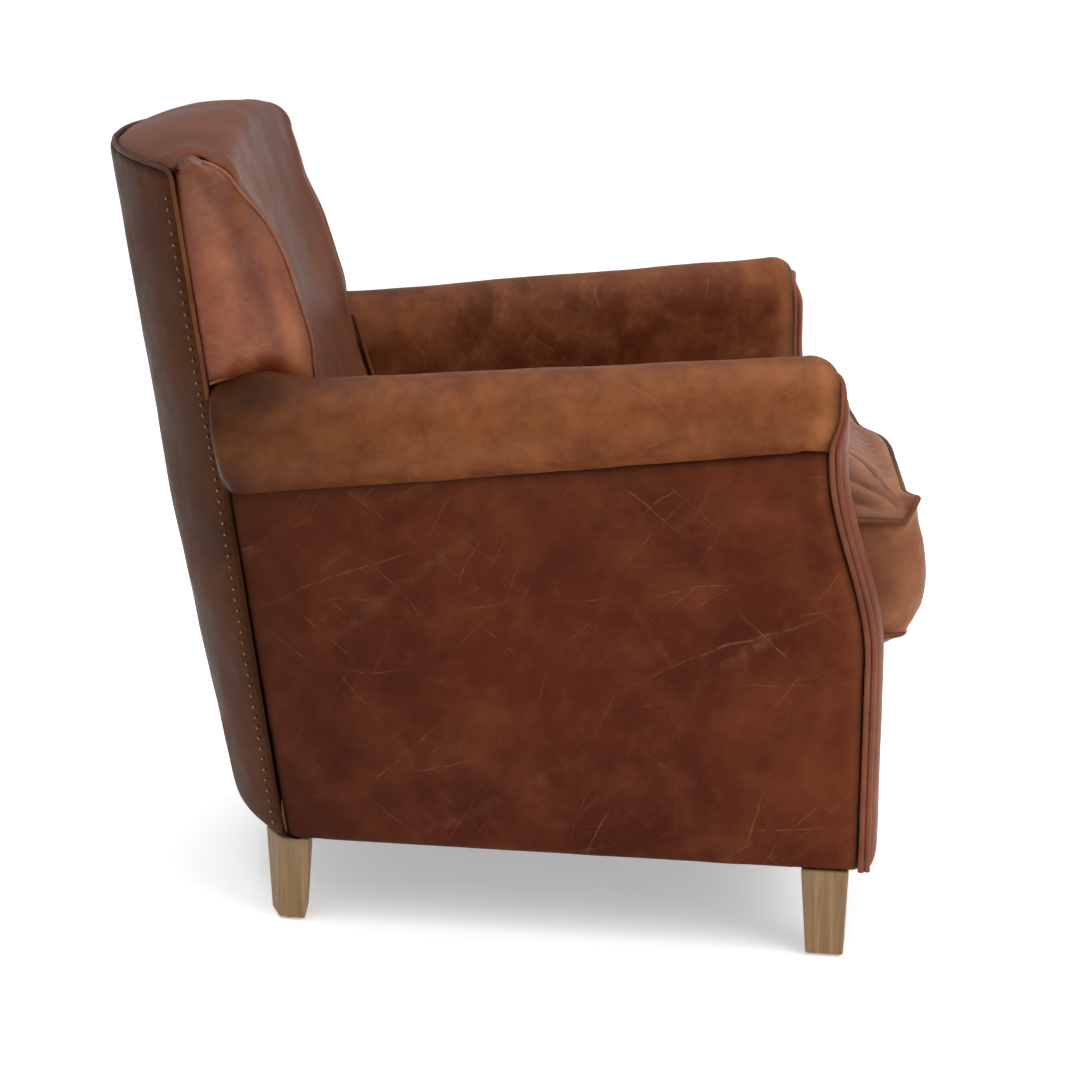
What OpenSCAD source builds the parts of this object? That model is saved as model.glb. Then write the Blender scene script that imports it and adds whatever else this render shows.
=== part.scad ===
// Leather armchair with rolled arms, a bowed back and a loose seat cushion.
// Millimetres, +Z up, the sitter faces -Y. The origin is on the floor, under the middle of the chair.
// "Left" and "right" are the sitter's: left is +X.

/* [Body] */
// Height of the upholstered body's underside above the floor
body_z = 98; // [90:1:105]
// Half-width of the body at its rear bottom corners
rear_half = 246; // [240:1:252]
// Rear bottom corner, behind the origin
rear_y = 248; // [243:1:253]
// Front of the arms at their base, ahead of the origin
arm_front = 370; // [364:1:374]
// How far the arms stand back at the top, compared with their base
arm_setback = 43; // [30:1:46]
// Outward splay of each side towards the front, in degrees
splay = 7.8; // [7:0.1:8.4]
// Thickness of a leather cover
leather = 2; // [1.5:0.1:2.4]

/* [Back] */
// Height of the back's top corners
back_top = 835; // [820:1:845]
// Rise of the top edge in the middle
top_crown = 28; // [20:1:34]
// Half-width of the back above the arms
back_half = 260; // [256:1:264]
// Rearward lean of the rear corners, as run over rise
rear_lean = 0.127; // [0.11:0.001:0.14]
// Rearward lean of the inside back, as run over rise
face_lean = 0.3; // [0.285:0.001:0.31]
// How far the outside back bows rearwards in the middle
back_bow = 93; // [85:1:98]
// How far the inside back is hollowed in the middle
face_hollow = 14; // [5:1:20]

/* [Arm rolls] */
// Radius of the roll at the arm's front
roll_front_r = 52; // [50:1:54]
// Radius of the roll where it meets the outside back
roll_rear_r = 60; // [58:1:61]
// Height of the roll's centre at the front
roll_front_z = 595; // [585:1:599]
// Height of the roll's centre at the rear
roll_rear_z = 545; // [541:1:551]
// Diameter of the piping cord in its leather
piping_d = 7.6; // [6:0.1:8]

/* [Seat] */
// Height of the deck that the cushion lies on
deck_z = 308; // [303:1:311]
// Height of the cushion's boxing, from seam to seam
boxing_h = 143; // [130:1:146]
// Rise of the cushion's crown above its top seam
cushion_crown = 33; // [25:1:38]
// Gap between the cushion and each arm
cushion_gap = 3; // [2:0.5:4]

/* [Legs] */
// Side of a leg at its top
leg_top = 50; // [46:1:52]
// Side of a leg at its foot
leg_foot = 40; // [36:1:44]
// Thickness of the glide under each leg
glide_h = 2.5; // [2:0.5:4]

/* [Hidden] */
$fn = 48;

gap = 0.4;                                  // air between neighbouring pieces
cosp = cos(splay);
front_l = -(rear_y + arm_front) / cosp;     // arm front in an arm's own frame
piping_r = piping_d / 2;
roll_rear_l = 50;                           // where the two roll radii are stated, in an arm's own frame
roll_front_l = -565;
board_t = 25;                               // thickness of the frame's boards
frame_z = body_z + 4;                       // underside of the wooden frame

// ---- shared curves ----

function clamp01(t) = min(1, max(0, t));
function ease(a, b, v) = let (t = clamp01((v - a) / (b - a))) t * t * (3 - 2 * t);
function mix(a, b, t) = a + (b - a) * t;

// Arm front edge (the seam line) in an arm's own frame: upright below, set back under the roll.
function front_edge(z) = front_l + arm_setback / cosp * ease(335, 545, z);
// Rear corner line, outside face of the back and front face of the back.
function corner_y(z) = rear_y + (z - body_z) * rear_lean;
function corner_x(z) = mix(rear_half - (corner_y(z) - rear_y) * tan(splay), back_half, ease(485, 625, z));
function bow(z) = back_bow * mix(0.84, 1, ease(body_z, 485, z));
function outside_y(x, z) = corner_y(z) + bow(z) * (1 - pow(min(1, abs(x) / corner_x(z)), 2.4));
function face_y(z) = 175 + (z - 505) * face_lean;
// The inside back's face stands further back towards its top corners.
function edge_back(u, z) = 13 * pow(abs(u), 3) * ease(745, 815, z);
function hollow(x, z) = face_hollow * mix(0.4, 1, ease(300, 800, z)) * (1 - pow(min(1, abs(x) / 190), 2));
function top_z(x) = back_top + top_crown * (1 - pow(x / back_half, 2));
function rear_top_z(x) = back_top - 7 + 9 * (1 - pow(x / back_half, 2));

// Arm roll in an arm's own frame, at distance y along it.
function roll_t(y) = (roll_rear_l - y) / (roll_rear_l - roll_front_l);
function roll_x(y) = mix(3.5, -23.9, roll_t(y));
function roll_z(y) = mix(roll_rear_z, roll_front_z, roll_t(y));
function roll_r(y) = mix(roll_rear_r, roll_front_r, roll_t(y));
// How far the roll's end is drawn in at its front seam, by the angle round it from the tuck at start.
roll_round = 19;
function roll_start(y) = -acos(min(1, max(-1, -roll_x(y) / roll_r(y))));
function end_drop(a, start) = roll_round * ease(start + 4, start + 60, a);
function tuck_z(y) = roll_z(y) - sqrt(pow(roll_r(y), 2) - pow(roll_x(y), 2));
// Inner face of the arm in the chair's frame, at depth y.
function arm_inner(y) = 193 + (200 - y) * 0.1052;
// Half-width of the inside back: between the arms, then flaring out to the top corners.
function seam_x(z) = mix(arm_inner(face_y(z)) - 1.5, back_half - 3, ease(752, 822, z));
// Top of an arm roll at its rear end, at half-width x.
function roll_top_z(x) = roll_rear_z + 1 + sqrt(pow(roll_rear_r + 1, 2) - pow(min(57, abs(x - 246)), 2));

// ---- solids from grids of points ----

// A closed solid between two grids of points of the same size: outer[row][column] and inner[row][column].
module slab(outer, inner) {
    rows = len(outer);
    cols = len(outer[0]);
    n = rows * cols;
    points = [for (g = [outer, inner]) for (r = g) for (p = r) p];
    function at(r, c) = r * cols + c;
    cells = [for (r = [0:rows - 2]) for (c = [0:cols - 2])
        [at(r, c), at(r, c + 1), at(r + 1, c + 1), at(r + 1, c)]];
    faces = concat(
        [for (q = cells) for (f = halves(q)) f],
        [for (q = cells) for (f = halves(q)) [n + f[0], n + f[2], n + f[1]]],
        [for (c = [0:cols - 2]) for (f = edge(at(0, c + 1), at(0, c), n)) f],
        [for (c = [0:cols - 2]) for (f = edge(at(rows - 1, c), at(rows - 1, c + 1), n)) f],
        [for (r = [0:rows - 2]) for (f = edge(at(r, 0), at(r + 1, 0), n)) f],
        [for (r = [0:rows - 2]) for (f = edge(at(r + 1, cols - 1), at(r, cols - 1), n)) f]
    );
    polyhedron(points, faces);
}
// The two triangles of a four-sided cell, and of the cell that joins edge a-b to its twin n points on.
function halves(q) = [[q[0], q[1], q[2]], [q[0], q[2], q[3]]];
function edge(a, b, n) = [[a, b, b + n], [a, b + n, a + n]];

// A tube of radius r along a path of points. A closed path joins its end to its start.
module tube(path, r, sides = 8, closed = false) {
    n = len(path);
    function next(i) = closed ? path[(i + 1) % n] : path[min(n - 1, i + 1)];
    function prev(i) = closed ? path[(i + n - 1) % n] : path[max(0, i - 1)];
    function ring(i) = let (
        d = unit(next(i) - prev(i)),
        a = unit(cross(d, abs(d.z) > 0.9 ? [0, 1, 0] : [0, 0, 1])),
        b = cross(d, a)
    ) [for (k = [0:sides - 1]) path[i] + r * (a * cos(360 * k / sides) + b * sin(360 * k / sides))];
    points = [for (i = [0:n - 1]) for (p = ring(i)) p];
    last = closed ? n - 1 : n - 2;
    function at(i, k) = (i % n) * sides + k % sides;
    faces = concat(
        [for (i = [0:last]) for (k = [0:sides - 1]) [at(i, k), at(i + 1, k), at(i + 1, k + 1)]],
        [for (i = [0:last]) for (k = [0:sides - 1]) [at(i, k), at(i + 1, k + 1), at(i, k + 1)]],
        closed ? [] : [[for (k = [0:sides - 1]) k], [for (k = [sides - 1:-1:0]) at(n - 1, k)]]
    );
    polyhedron(points, faces);
}
function unit(v) = v / norm(v);

// ---- frames of reference ----

// Puts a left-hand piece on its side: +1 left, -1 right.
module on_side(side) { mirror([side < 0 ? 1 : 0, 0, 0]) children(); }
// An arm's own frame: X outwards from the outside arm's face, -Y towards the front.
module arm_frame() { translate([rear_half, rear_y, 0]) rotate([0, 0, splay]) children(); }
// Extrudes an outline of (depth, height) across the chair, from x0 to x1.
module across(x0, x1) { translate([x0, 0, 0]) rotate([90, 0, 90]) linear_extrude(x1 - x0) children(); }

// The space behind the inside back, out to half-width x, from the depth that lies back behind its face.
module behind_face(x, back, z0, z1) {
    across(0, x) polygon([[face_y(z0) + back, z0], [600, z0], [600, z1], [face_y(z1) + back, z1]]);
}

// ---- legs ----

// A leg between two outlines of four corners, with a bolt hole up its middle.
module leg(head, foot, bolt) {
    difference() {
        polyhedron(
            [for (p = foot) [p.x, p.y, glide_h], for (p = head) [p.x, p.y, body_z - gap]],
            [[3, 2, 1, 0], [4, 5, 6, 7], [1, 5, 4, 0], [2, 6, 5, 1], [3, 7, 6, 2], [0, 4, 7, 3]]
        );
        translate([bolt.x, bolt.y, body_z - 45]) cylinder(r = 4.1, h = 60);
    }
}
front_bolt = [302, -335];
rear_bolt = [223, 236];
// The corners of a square that follows the arm's splay, from its front outer corner.
function leg_square(corner, side) = [for (c = [[0, 0], [-1, 0], [-1, 1], [0, 1]])
    corner + side * [c.x * cosp - c.y * sin(splay), c.x * sin(splay) + c.y * cosp]];
module leg_front() {
    color("burlywood")
        leg(leg_square([327, -360], leg_top), leg_square([328, -357], leg_foot), front_bolt);
}
module leg_rear() {
    color("burlywood") leg(
        [[243, 219], [195, 219], [203, 271], [239, 251]],
        [[242, 226], [202, 226], [208, 266], [237, 255]],
        rear_bolt
    );
}
module leg_glides() {
    color("dimgray") for (x = [-1, 1]) {
        translate([x * 306, -341, 0]) cylinder(r = 12, h = glide_h - 0.1);
        translate([x * 222, 243, 0]) cylinder(r = 12, h = glide_h - 0.1);
    }
}
module hanger_bolts() {
    color("silver") for (x = [-1, 1]) for (p = [front_bolt, rear_bolt])
        translate([x * p.x, p.y, body_z - 40]) cylinder(r = 4, h = 85);
}

// ---- wooden frame ----

rear_rail_y = 196;
post_x0 = 212;
post_x1 = 228;
block_h = 60;
module corner_block(p, size, at) {
    difference() {
        translate([at.x, at.y, frame_z]) cube([size.x, size.y, block_h]);
        translate([p.x, p.y, body_z - 10]) cylinder(r = 4.1, h = 80);
    }
}
module corner_blocks() {
    color("tan") for (side = [-1, 1]) on_side(side) {
        corner_block(front_bolt, [50, 42], [253, -350]);
        corner_block(rear_bolt, [24, 28], [post_x0, rear_rail_y + board_t]);
    }
}
rail_top = 269.5;
module front_rail() {
    color("tan") translate([-246, -362, frame_z]) cube([492, board_t - 3, rail_top - frame_z]);
}
module rear_rail() {
    color("tan") translate([-post_x0, rear_rail_y, frame_z])
        cube([2 * post_x0, board_t, rail_top - frame_z]);
}
module side_rail() {
    color("tan") arm_frame() translate([-3.5 - board_t, -570, frame_z + block_h + 4])
        cube([board_t, 524, 100]);
}
// Follows the arm's scroll outline from the front, and its set-back edge from the side.
module arm_front_board() {
    color("tan") arm_frame() shaped_front(-2, -20, 7, frame_z);
}
// The arm's scroll outline from the front, (x, z), pulled in by inset: up its outer edge, over the roll
// and down inside.
// The inner edge stands back, as the roll's rounded end does.
function scroll_points(inset, z0, steps = 12) = let (
        y = front_edge(roll_front_z),
        cx = roll_x(y),
        r = roll_r(y),
        start = roll_start(y),
        outer = [for (i = [0:steps]) [-inset, mix(z0, tuck_z(y) - 3, i / steps)]],
        over = [for (i = [0:18])
            let (a = mix(start + 8, 180, i / 18), end_r = r - inset - end_drop(a, start))
            [cx + end_r * cos(a), roll_front_z + end_r * sin(a)]],
        inner = [for (i = [1:steps]) [cx - r + inset + roll_round, mix(roll_front_z, z0, i / steps)]]
    ) concat(outer, over, inner);
// The scroll outline as a curved layer: from near to far behind the seam line.
module shaped_front(near, far, inset, z0) {
    zs = [for (i = [0:14]) z0 - 10 + i * (680 - z0) / 14];
    intersection() {
        translate([0, -500, 0]) rotate([90, 0, 0]) linear_extrude(200) polygon(scroll_points(inset, z0));
        across(-120, 60) polygon(concat(
            [for (z = zs) [front_edge(z) - near, z]],
            [for (i = [len(zs) - 1:-1:0]) [front_edge(zs[i]) - far, zs[i]]]
        ));
    }
}
module arm_rail() {
    y0 = -556;
    y1 = 30;
    a = [roll_x(y0), y0, roll_z(y0)];
    b = [roll_x(y1), y1, roll_z(y1)];
    d = b - a;
    color("tan") arm_frame() translate(a)
        rotate([atan(d.z / d.y), 0, -atan(d.x / d.y)])
            translate([-16, 0, -12]) cube([32, norm(d), 24]);
}
module back_post() {
    zs = [frame_z + block_h, 440, 600, 700, 770, 798];
    backs = [0, 76, 74, 66, 51, 36];
    color("tan") across(post_x0, post_x1) polygon(concat(
        [[222, zs[0]]],
        [for (i = [1:5]) [face_y(zs[i]) + backs[i], zs[i]]],
        [[corner_y(zs[5]) - 5, zs[5]], [corner_y(zs[0]) - 5, zs[0]]]
    ));
}
// A bandsawn rib that follows the bow at height z. Its front edge is straight at front_y, or follows
// the bow too.
module rib(z, end_x, depth, front_y) {
    xs = [for (i = [-8:8]) i / 8 * end_x];
    color("tan") translate([0, 0, z]) linear_extrude(board_t) polygon(concat(
        [for (x = xs) [x, outside_y(x, z) - 6]],
        is_undef(front_y) ? [for (i = [len(xs) - 1:-1:0]) [xs[i], outside_y(xs[i], z) - 6 - depth]]
            : [[end_x, front_y], [-end_x, front_y]]
    ));
}
module back_rib_top() { rib(773, post_x0, undef, webbing_y(793) + 3); }
module back_rib_middle() { rib(560, post_x0, 44); }
module back_rib_bottom() { rib(frame_z, post_x0, undef, rear_rail_y + board_t); }
module back_spring_rail() {
    color("tan") translate([-post_x0, webbing_y(345) - 8, 285]) cube([2 * post_x0, board_t - 3, 60]);
}

// ---- springs and webbing ----

spring_pitch = 30;
spring_half = 24;
spring_wire = 1.9;
spring_front = -346;
spring_rear = 208;
spring_z = 275;
spring_xs = [-164, -82, 0, 82, 164];
// Zigzag wire, arched upwards, whose end bars lie in the clips.
function spring_path(x0) = let (
    bars = floor((spring_rear - spring_front) / spring_pitch),
    pitch = (spring_rear - spring_front) / bars
) [for (i = [0:bars]) let (
        y = spring_front + i * pitch,
        s = i % 2 == 0 ? 1 : -1,
        reach = spring_half - pitch / 2,
        lift = 9 * sin(180 * i / bars),
        half = pitch / 2,
        turn = [for (a = i == bars ? [] : [30, 90, 150])
            [s * (reach + half * sin(a)), y + half * (1 - cos(a)), lift]],
        bar = [[-s * reach, y, lift], [s * reach, y, lift]]
    ) for (p = concat(bar, turn)) [x0 + p.x, p.y, spring_z + p.z]];
module seat_springs() {
    color("silver") for (x = spring_xs) tube(spring_path(x), spring_wire, 6);
}
module spring_clips() {
    color("gainsboro") for (x = spring_xs) for (y = [spring_front, spring_rear])
        translate([x, y, spring_z]) difference() {
            translate([-8, -5, -5]) cube([16, 10, 9]);
            rotate([0, 90, 0]) translate([0, 0, -20]) cylinder(r = spring_wire + 0.3, h = 40);
        }
}
function webbing_y(z) = face_y(z) + 70;
module back_webbing() {
    color("saddlebrown") for (x = [-150, -50, 50, 150])
        across(x - 25, x + 25) polygon([
            [webbing_y(345.2), 345.2], [webbing_y(793), 793],
            [webbing_y(793) + 2.5, 793], [webbing_y(345.2) + 2.5, 345.2]
        ]);
}
// The deck of foam and platform cloth between the arms, the apron and the inside back.
module seat_deck() {
    color("peru") translate([0, 0, deck_z - 16]) linear_extrude(16 - gap) deck_outline();
}
module deck_outline() {
    ys = [-362, face_y(deck_z - 16) - 3];
    polygon([
        [-arm_inner(ys[0]) + 2, ys[0]], [arm_inner(ys[0]) - 2, ys[0]],
        [arm_inner(ys[1]) - 2, ys[1]], [-arm_inner(ys[1]) + 2, ys[1]]
    ]);
}
module dust_cover() {
    xs = [for (i = [-8:8]) i / 8 * (corner_x(body_z) - 6)];
    color("dimgray") translate([0, 0, body_z - 0.5]) linear_extrude(1) difference() {
        polygon(concat(
            [[-320, -358], [320, -358]],
            [for (i = [len(xs) - 1:-1:0]) [xs[i], outside_y(xs[i], body_z) - 5]]
        ));
        for (x = [-1, 1]) {
            translate([x * 301, -335]) square(66, center = true);
            translate([x * 219, 249]) square(66, center = true);
        }
    }
}

// ---- arms ----

module outside_arm() {
    zs = [for (i = [0:12]) body_z + i * (542 - body_z) / 12];
    ys = [for (i = [0:10]) mix(front_edge(542) + 1, 46, i / 10)];
    color("sienna") arm_frame() across(-3, 0) polygon(concat(
        [for (z = zs) [front_edge(z) + gap, z]],
        [for (y = ys) [y, tuck_z(y) - 1.2]],
        [[-5, body_z]]
    ));
}
// One ring of an arm's section at share t from rear to front: over the roll from the tuck, then down the
// inner face.
function arm_ring(t, deep, floor_z, front_gap) = let (
        turns = [for (i = [0:14]) i / 14],
        downs = [0.2, 0.45, 0.7, 1]
    ) concat(
        [for (k = turns) arm_point(t, deep, k, undef, floor_z, front_gap)],
        [for (k = downs) arm_point(t, deep, 1, k, floor_z, front_gap)]
    );
function arm_point(t, deep, turn, down, floor_z, front_gap) = let (
        y0 = mix(78, front_edge(590) + front_gap, t),
        start = roll_start(y0),
        a = mix(start + 4, 180, turn),
        ending = max(0, t - round_share) / (1 - round_share),
        draw = deep > 20 ? 0.3 : 1,          // the foam's hollow core stays clear of the rail
        r = roll_r(y0) - deep - draw * end_drop(a, start) * (1 - sqrt(1 - ending * ending)),
        x = roll_x(y0) + r * cos(a),
        z = is_undef(down) ? roll_z(y0) + r * sin(a) : mix(roll_z(y0), floor_z, down),
        y = mix((corner_y(z) - rear_y) / cosp + 15, front_edge(z) + front_gap, t)
    ) [x, y, z];
round_share = 0.955;                        // of the arm's length; the rest is the roll's rounded end
module arm_layer(shallow, deep, floor_z, front_gap) {
    ts = [1, 0.996, 0.985, round_share, 0.8, 0.6, 0.4, 0.2, 0];
    difference() {
        arm_frame() slab(
            [for (t = ts) arm_ring(t, shallow, floor_z, front_gap)],
            [for (t = ts) arm_ring(t, deep, floor_z, front_gap)]
        );
        behind_face(203, -1, 200, 440);
        behind_face(197.5, -1, 439, 900);
        behind_face(213, 60, 284, 346);
        behind_face(post_x1 + 1, 68, 200, 900);
        across(200, 400) polygon([
            [corner_y(200) - 3.8, 200], [700, 200], [700, 700], [corner_y(700) - 3.8, 700]
        ]);
    }
}
module arm_foam() { color("wheat") arm_layer(leather + 0.3, 27, 288, 23); }
module arm_cover() { color("sienna") arm_layer(0, leather, 289, 1.8); }
// Closes the rear end of the roll, outside the body's corner.
module roll_end() {
    zs = [for (z = [465:20:625]) z];
    color("sienna") intersection() {
        arm_frame() translate([roll_x(50), 0, roll_z(50)])
            rotate([90, 0, 0]) cylinder(r = roll_rear_r, h = 400, center = true);
        across(0, 400) polygon([
            for (p = [[465, -3.5], [625, -3.5], [625, -0.5], [465, -0.5]]) [corner_y(p[0]) + p[1], p[0]]
        ]);
        rotate([90, 0, 0]) linear_extrude(1000, center = true)
            polygon(concat([for (z = zs) [corner_x(z) + 0.5, z]], [[400, 625], [400, 465]]));
    }
}
module arm_facing() { color("sienna") arm_frame() shaped_front(12, 0.5, piping_r + 1.1, body_z); }
// The piping round the facing, just ahead of the seam line.
function facing_path() = [
    for (p = scroll_points(0, body_z + 4)) [p.x, front_edge(p[1]) - piping_r - 0.3, p[1]]
];
module facing_piping() { color("saddlebrown") arm_frame() tube(facing_path(), piping_r); }
module front_apron() {
    color("sienna") translate([0, 0, body_z]) linear_extrude(deck_z - 2 - body_z) polygon([
        for (i = [-6:6]) [i / 6 * 250, -380 - 4 * (1 - pow(i / 6, 2))], [250, -363], [-250, -363]
    ]);
}

// ---- back ----

edge_in = 3.6;                              // room for the piping beside the outside back
back_us = [-1, -0.97, -0.9, -0.8, -0.65, -0.45, -0.22, 0, 0.22, 0.45, 0.65, 0.8, 0.9, 0.97, 1];
module outside_back() {
    zs = [body_z, 165, 245, 325, 405, 465, 485, 505, 525, 545, 565, 585, 605, 665, 725, 780];
    function at(x, z, deep) = [x, outside_y(x, z) - deep, z];
    function row(z, deep) = [for (u = back_us)
        at(u * (corner_x(z) - edge_in * ease(588, 606, z)), z, deep)];
    function top_row(deep) = [for (u = back_us) let (x = u * (back_half - edge_in))
        at(x, rear_top_z(x) - 8, deep)];
    color("sienna") slab(
        [for (z = zs) row(z, 0), top_row(0)],
        [for (z = zs) row(z, 3), top_row(3)]
    );
}
// A line up the inside back and over its top, at share u of its half-width, lying deep inside the
// leather's face.
front_round = 28;
function over_top(u, deep, floor_z) = let (
        x = u * seam_x(900),
        zt = top_z(x),
        ze = zt - front_round,
        at = function (z) [u * seam_x(z), face_y(z) + hollow(u * 190, z) + edge_back(u, z) + deep, z],
        rear = outside_y(x, rear_top_z(x)) - 6
    ) concat(
        [for (i = [0:13]) at(mix(floor_z, ze, i / 13))],
        [for (a = [30, 60]) let (z = ze + (front_round - deep) * sin(a))
            [u * seam_x(z), at(ze).y + (front_round - deep) * (1 - cos(a)), z]],
        [for (i = [0:4]) let (t = i / 4)
            [x, mix(at(ze).y + front_round, rear, t), mix(zt, rear_top_z(x), t * t) - deep]]
    );
face_us = [-1, -0.93, -0.8, -0.6, -0.4, -0.2, 0, 0.2, 0.4, 0.6, 0.8, 0.93, 1];
module inside_back() {
    color("sienna") slab(
        [for (u = face_us) over_top(u, 0, 290)],
        [for (u = face_us) over_top(u, leather, 290)]
    );
}
// Foam under the inside back's leather: thick in the middle, thinner at its sides and over the top rib.
foam_share = 0.82;                          // of the inside back's half-width
module back_foam() {
    color("wheat") slab(
        [for (u = face_us) over_top(foam_share * u, leather + 0.8, 290)],
        [for (u = face_us) foam_rear(foam_share * u, 290)]
    );
}
function foam_rear(u, floor_z) = let (
        thick = mix(20, 42, ease(0.9, 0.5, abs(u))),
        fill = function (z) thick * mix(1, 0.8, ease(600, 800, z)),
        at = function (z) [u * seam_x(z), face_y(z) + hollow(u * 190, z) + fill(z), z],
        last = at(802)
    ) [for (i = [0:20]) i < 18 ? at(mix(floor_z, 802, i / 17))
        : [last.x, mix(last.y, outside_y(last.x, 802) - 8, (i - 17) / 3), 802]];
// The padded boxing that closes each side of the back above the arm, from its front seam to the rear
// corner.
module back_side() {
    cols = [0, 0.2, 0.4, 0.6, 0.8, 1];
    rows = [for (i = [0:8]) i / 8];
    color("sienna") slab(
        [for (t = cols) [for (s = rows) side_point(t, s, 0)]],
        [for (t = cols) [for (s = rows) side_point(t, s, 7)]]
    );
}
function side_point(t, s, deep) = let (
        low = roll_top_z(mix(seam_x(600), corner_x(600), t) - deep) + 1,
        high = mix(back_top - 6, back_top - 10, ease(0, 0.35, t)),
        z = mix(low, high, s),
        turn_z = back_top - front_round,
        over = max(0, z - turn_z) / front_round,
        front = [
            seam_x(z) + 0.6,
            face_y(min(z, turn_z)) + edge_back(1, z) + front_round * (1 - sqrt(1 - over * over)) + 3
        ],
        rear = [corner_x(z) - 1, corner_y(z) - 4.4],
        p = mix(front, rear, t),
        n = unit([rear.y - front.y, front.x - rear.x])
    ) [p.x - n.x * deep, p.y - n.y * deep, z];
// Up one rear corner from the arm, along the top and down the other corner.
function back_piping_path() = let (
        up = [for (z = [617:35:827]) [back_half + 1, corner_y(z) + 1, z]],
        over = [for (x = [250:-25:-250]) [x, outside_y(x, rear_top_z(x)) + 1, rear_top_z(x) + 1]]
    ) concat(up, over, [for (i = [len(up) - 1:-1:0]) [-up[i].x, up[i].y, up[i].z]]);
module back_piping() { color("saddlebrown") tube(back_piping_path(), piping_r - 0.6); }
// Small nails down both edges of the outside back.
nail_pitch = 12;
module back_nails() {
    color("darkkhaki") for (side = [-1, 1]) on_side(side)
        for (i = [0:57]) let (z = 115 + i * nail_pitch, x = corner_x(z) - 9)
            translate([x, outside_y(x, z) + 1.3, z])
                rotate([-90, 0, 0]) rotate([0, 38, 0]) cylinder(r = 1.8, h = 1.4, $fn = 16);
}

// ---- seat cushion ----

cushion_z = deck_z + 19;                    // bottom seam
cushion_front = -435;
function cushion_rear(z) = face_y(z) - 9;  // leans with the inside back
function cushion_half(y) = arm_inner(y) - cushion_gap - 1;
// The cushion's outline at height z, pulled in by inset, with rounded corners.
module cushion_outline(z, inset) {
    r = 26;
    ys = [cushion_front + r, cushion_rear(z) - r];
    offset(r = r - inset) polygon([
        [-cushion_half(ys[0]) + r, ys[0]], [0, ys[0] - 8], [cushion_half(ys[0]) - r, ys[0]],
        [cushion_half(ys[1]) - r, ys[1]], [-cushion_half(ys[1]) + r, ys[1]]
    ], $fn = 24);
}
module cushion_layer(z, inset) { translate([0, 0, z]) linear_extrude(0.5) cushion_outline(z, inset); }
// The whole cushion, shrunk on every side by d.
module cushion_solid(d) {
    top = cushion_z + boxing_h;
    hull() {
        cushion_layer(deck_z + gap + d, 24);
        cushion_layer(cushion_z, 4 + d);
        cushion_layer(mix(cushion_z, top, 0.5), d - 1);
        cushion_layer(top, 4 + d);
        cushion_layer(top + cushion_crown * 0.5, 23 + d);
        intersection() {
            cushion_layer(top + cushion_crown - 0.5 - d, 25);
            translate([-160, -320, 0]) cube([320, 370, 900]);
        }
    }
}
module cushion_core() { color("wheat") cushion_solid(leather + 0.5); }
module cushion_cover() {
    color("sienna") difference() {
        cushion_solid(0);
        cushion_solid(leather);
    }
}
// Points round the cushion's outline at height z, just outside it.
function cushion_loop(z, out) = let (
        r = 26 + out,
        y0 = cushion_front + 26,
        y1 = cushion_rear(z) - 26,
        corners = [
            [cushion_half(y0) - 26, y0, -80, 0], [cushion_half(y1) - 26, y1, 0, 90],
            [-cushion_half(y1) + 26, y1, 90, 180], [-cushion_half(y0) + 26, y0, 180, 260]
        ]
    ) concat(
        [[0, y0 - 8 - r, z]],
        [for (c = corners) for (i = [0:5]) let (a = mix(c[2], c[3], i / 5))
            [c[0] + r * cos(a), c[1] + r * sin(a), z]]
    );
module cushion_piping(z) {
    color("saddlebrown") tube(cushion_loop(z, -4 - piping_r + 7.9), piping_r - 0.8, 8, closed = true);
}
zip_half = 165;
zip_z = cushion_z + boxing_h / 2;
zip_lean = -atan(face_lean);
module zip_tape() {
    color("dimgray") translate([0, cushion_rear(zip_z) + 1.4, zip_z]) rotate([zip_lean, 0, 0])
        translate([-zip_half - 12, 0, -13]) cube([2 * zip_half + 24, 1.4, 26]);
}
module zip_slider() {
    color("silver") translate([-zip_half + 4, cushion_rear(zip_z) + 1.4, zip_z]) rotate([zip_lean, 0, 0]) {
        translate([-6, 1.8, -4]) cube([12, 3, 8]);
        translate([-5, 5.1, -20]) difference() {
            cube([10, 1.4, 22]);
            translate([5, -1, 5]) rotate([-90, 0, 0]) cylinder(r = 2.5, h = 4);
        }
    }
}

on_side(-1) leg_front();  // leg_front_right
on_side(1) leg_front();  // leg_front_left
on_side(-1) leg_rear();  // leg_rear_right
on_side(1) leg_rear();  // leg_rear_left
leg_glides();
hanger_bolts();
corner_blocks();
front_rail();
rear_rail();
on_side(-1) side_rail();  // side_rail_right
on_side(1) side_rail();  // side_rail_left
on_side(-1) arm_front_board();  // arm_front_board_right
on_side(1) arm_front_board();  // arm_front_board_left
on_side(-1) arm_rail();  // arm_rail_right
on_side(1) arm_rail();  // arm_rail_left
on_side(-1) back_post();  // back_post_right
on_side(1) back_post();  // back_post_left
back_rib_top();
back_rib_middle();
back_rib_bottom();
back_spring_rail();
back_webbing();
seat_springs();
spring_clips();
seat_deck();
dust_cover();
on_side(-1) outside_arm();  // outside_arm_right
on_side(1) outside_arm();  // outside_arm_left
on_side(-1) arm_foam();  // arm_foam_right
on_side(1) arm_foam();  // arm_foam_left
on_side(-1) arm_cover();  // arm_cover_right
on_side(1) arm_cover();  // arm_cover_left
on_side(-1) roll_end();  // roll_end_right
on_side(1) roll_end();  // roll_end_left
on_side(-1) arm_facing();  // arm_facing_right
on_side(1) arm_facing();  // arm_facing_left
on_side(-1) facing_piping();  // facing_piping_right
on_side(1) facing_piping();  // facing_piping_left
front_apron();
outside_back();
back_foam();
inside_back();
on_side(-1) back_side();  // back_side_right
on_side(1) back_side();  // back_side_left
back_piping();
back_nails();
cushion_core();
cushion_cover();
cushion_piping(cushion_z + boxing_h);  // cushion_piping_top
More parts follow.
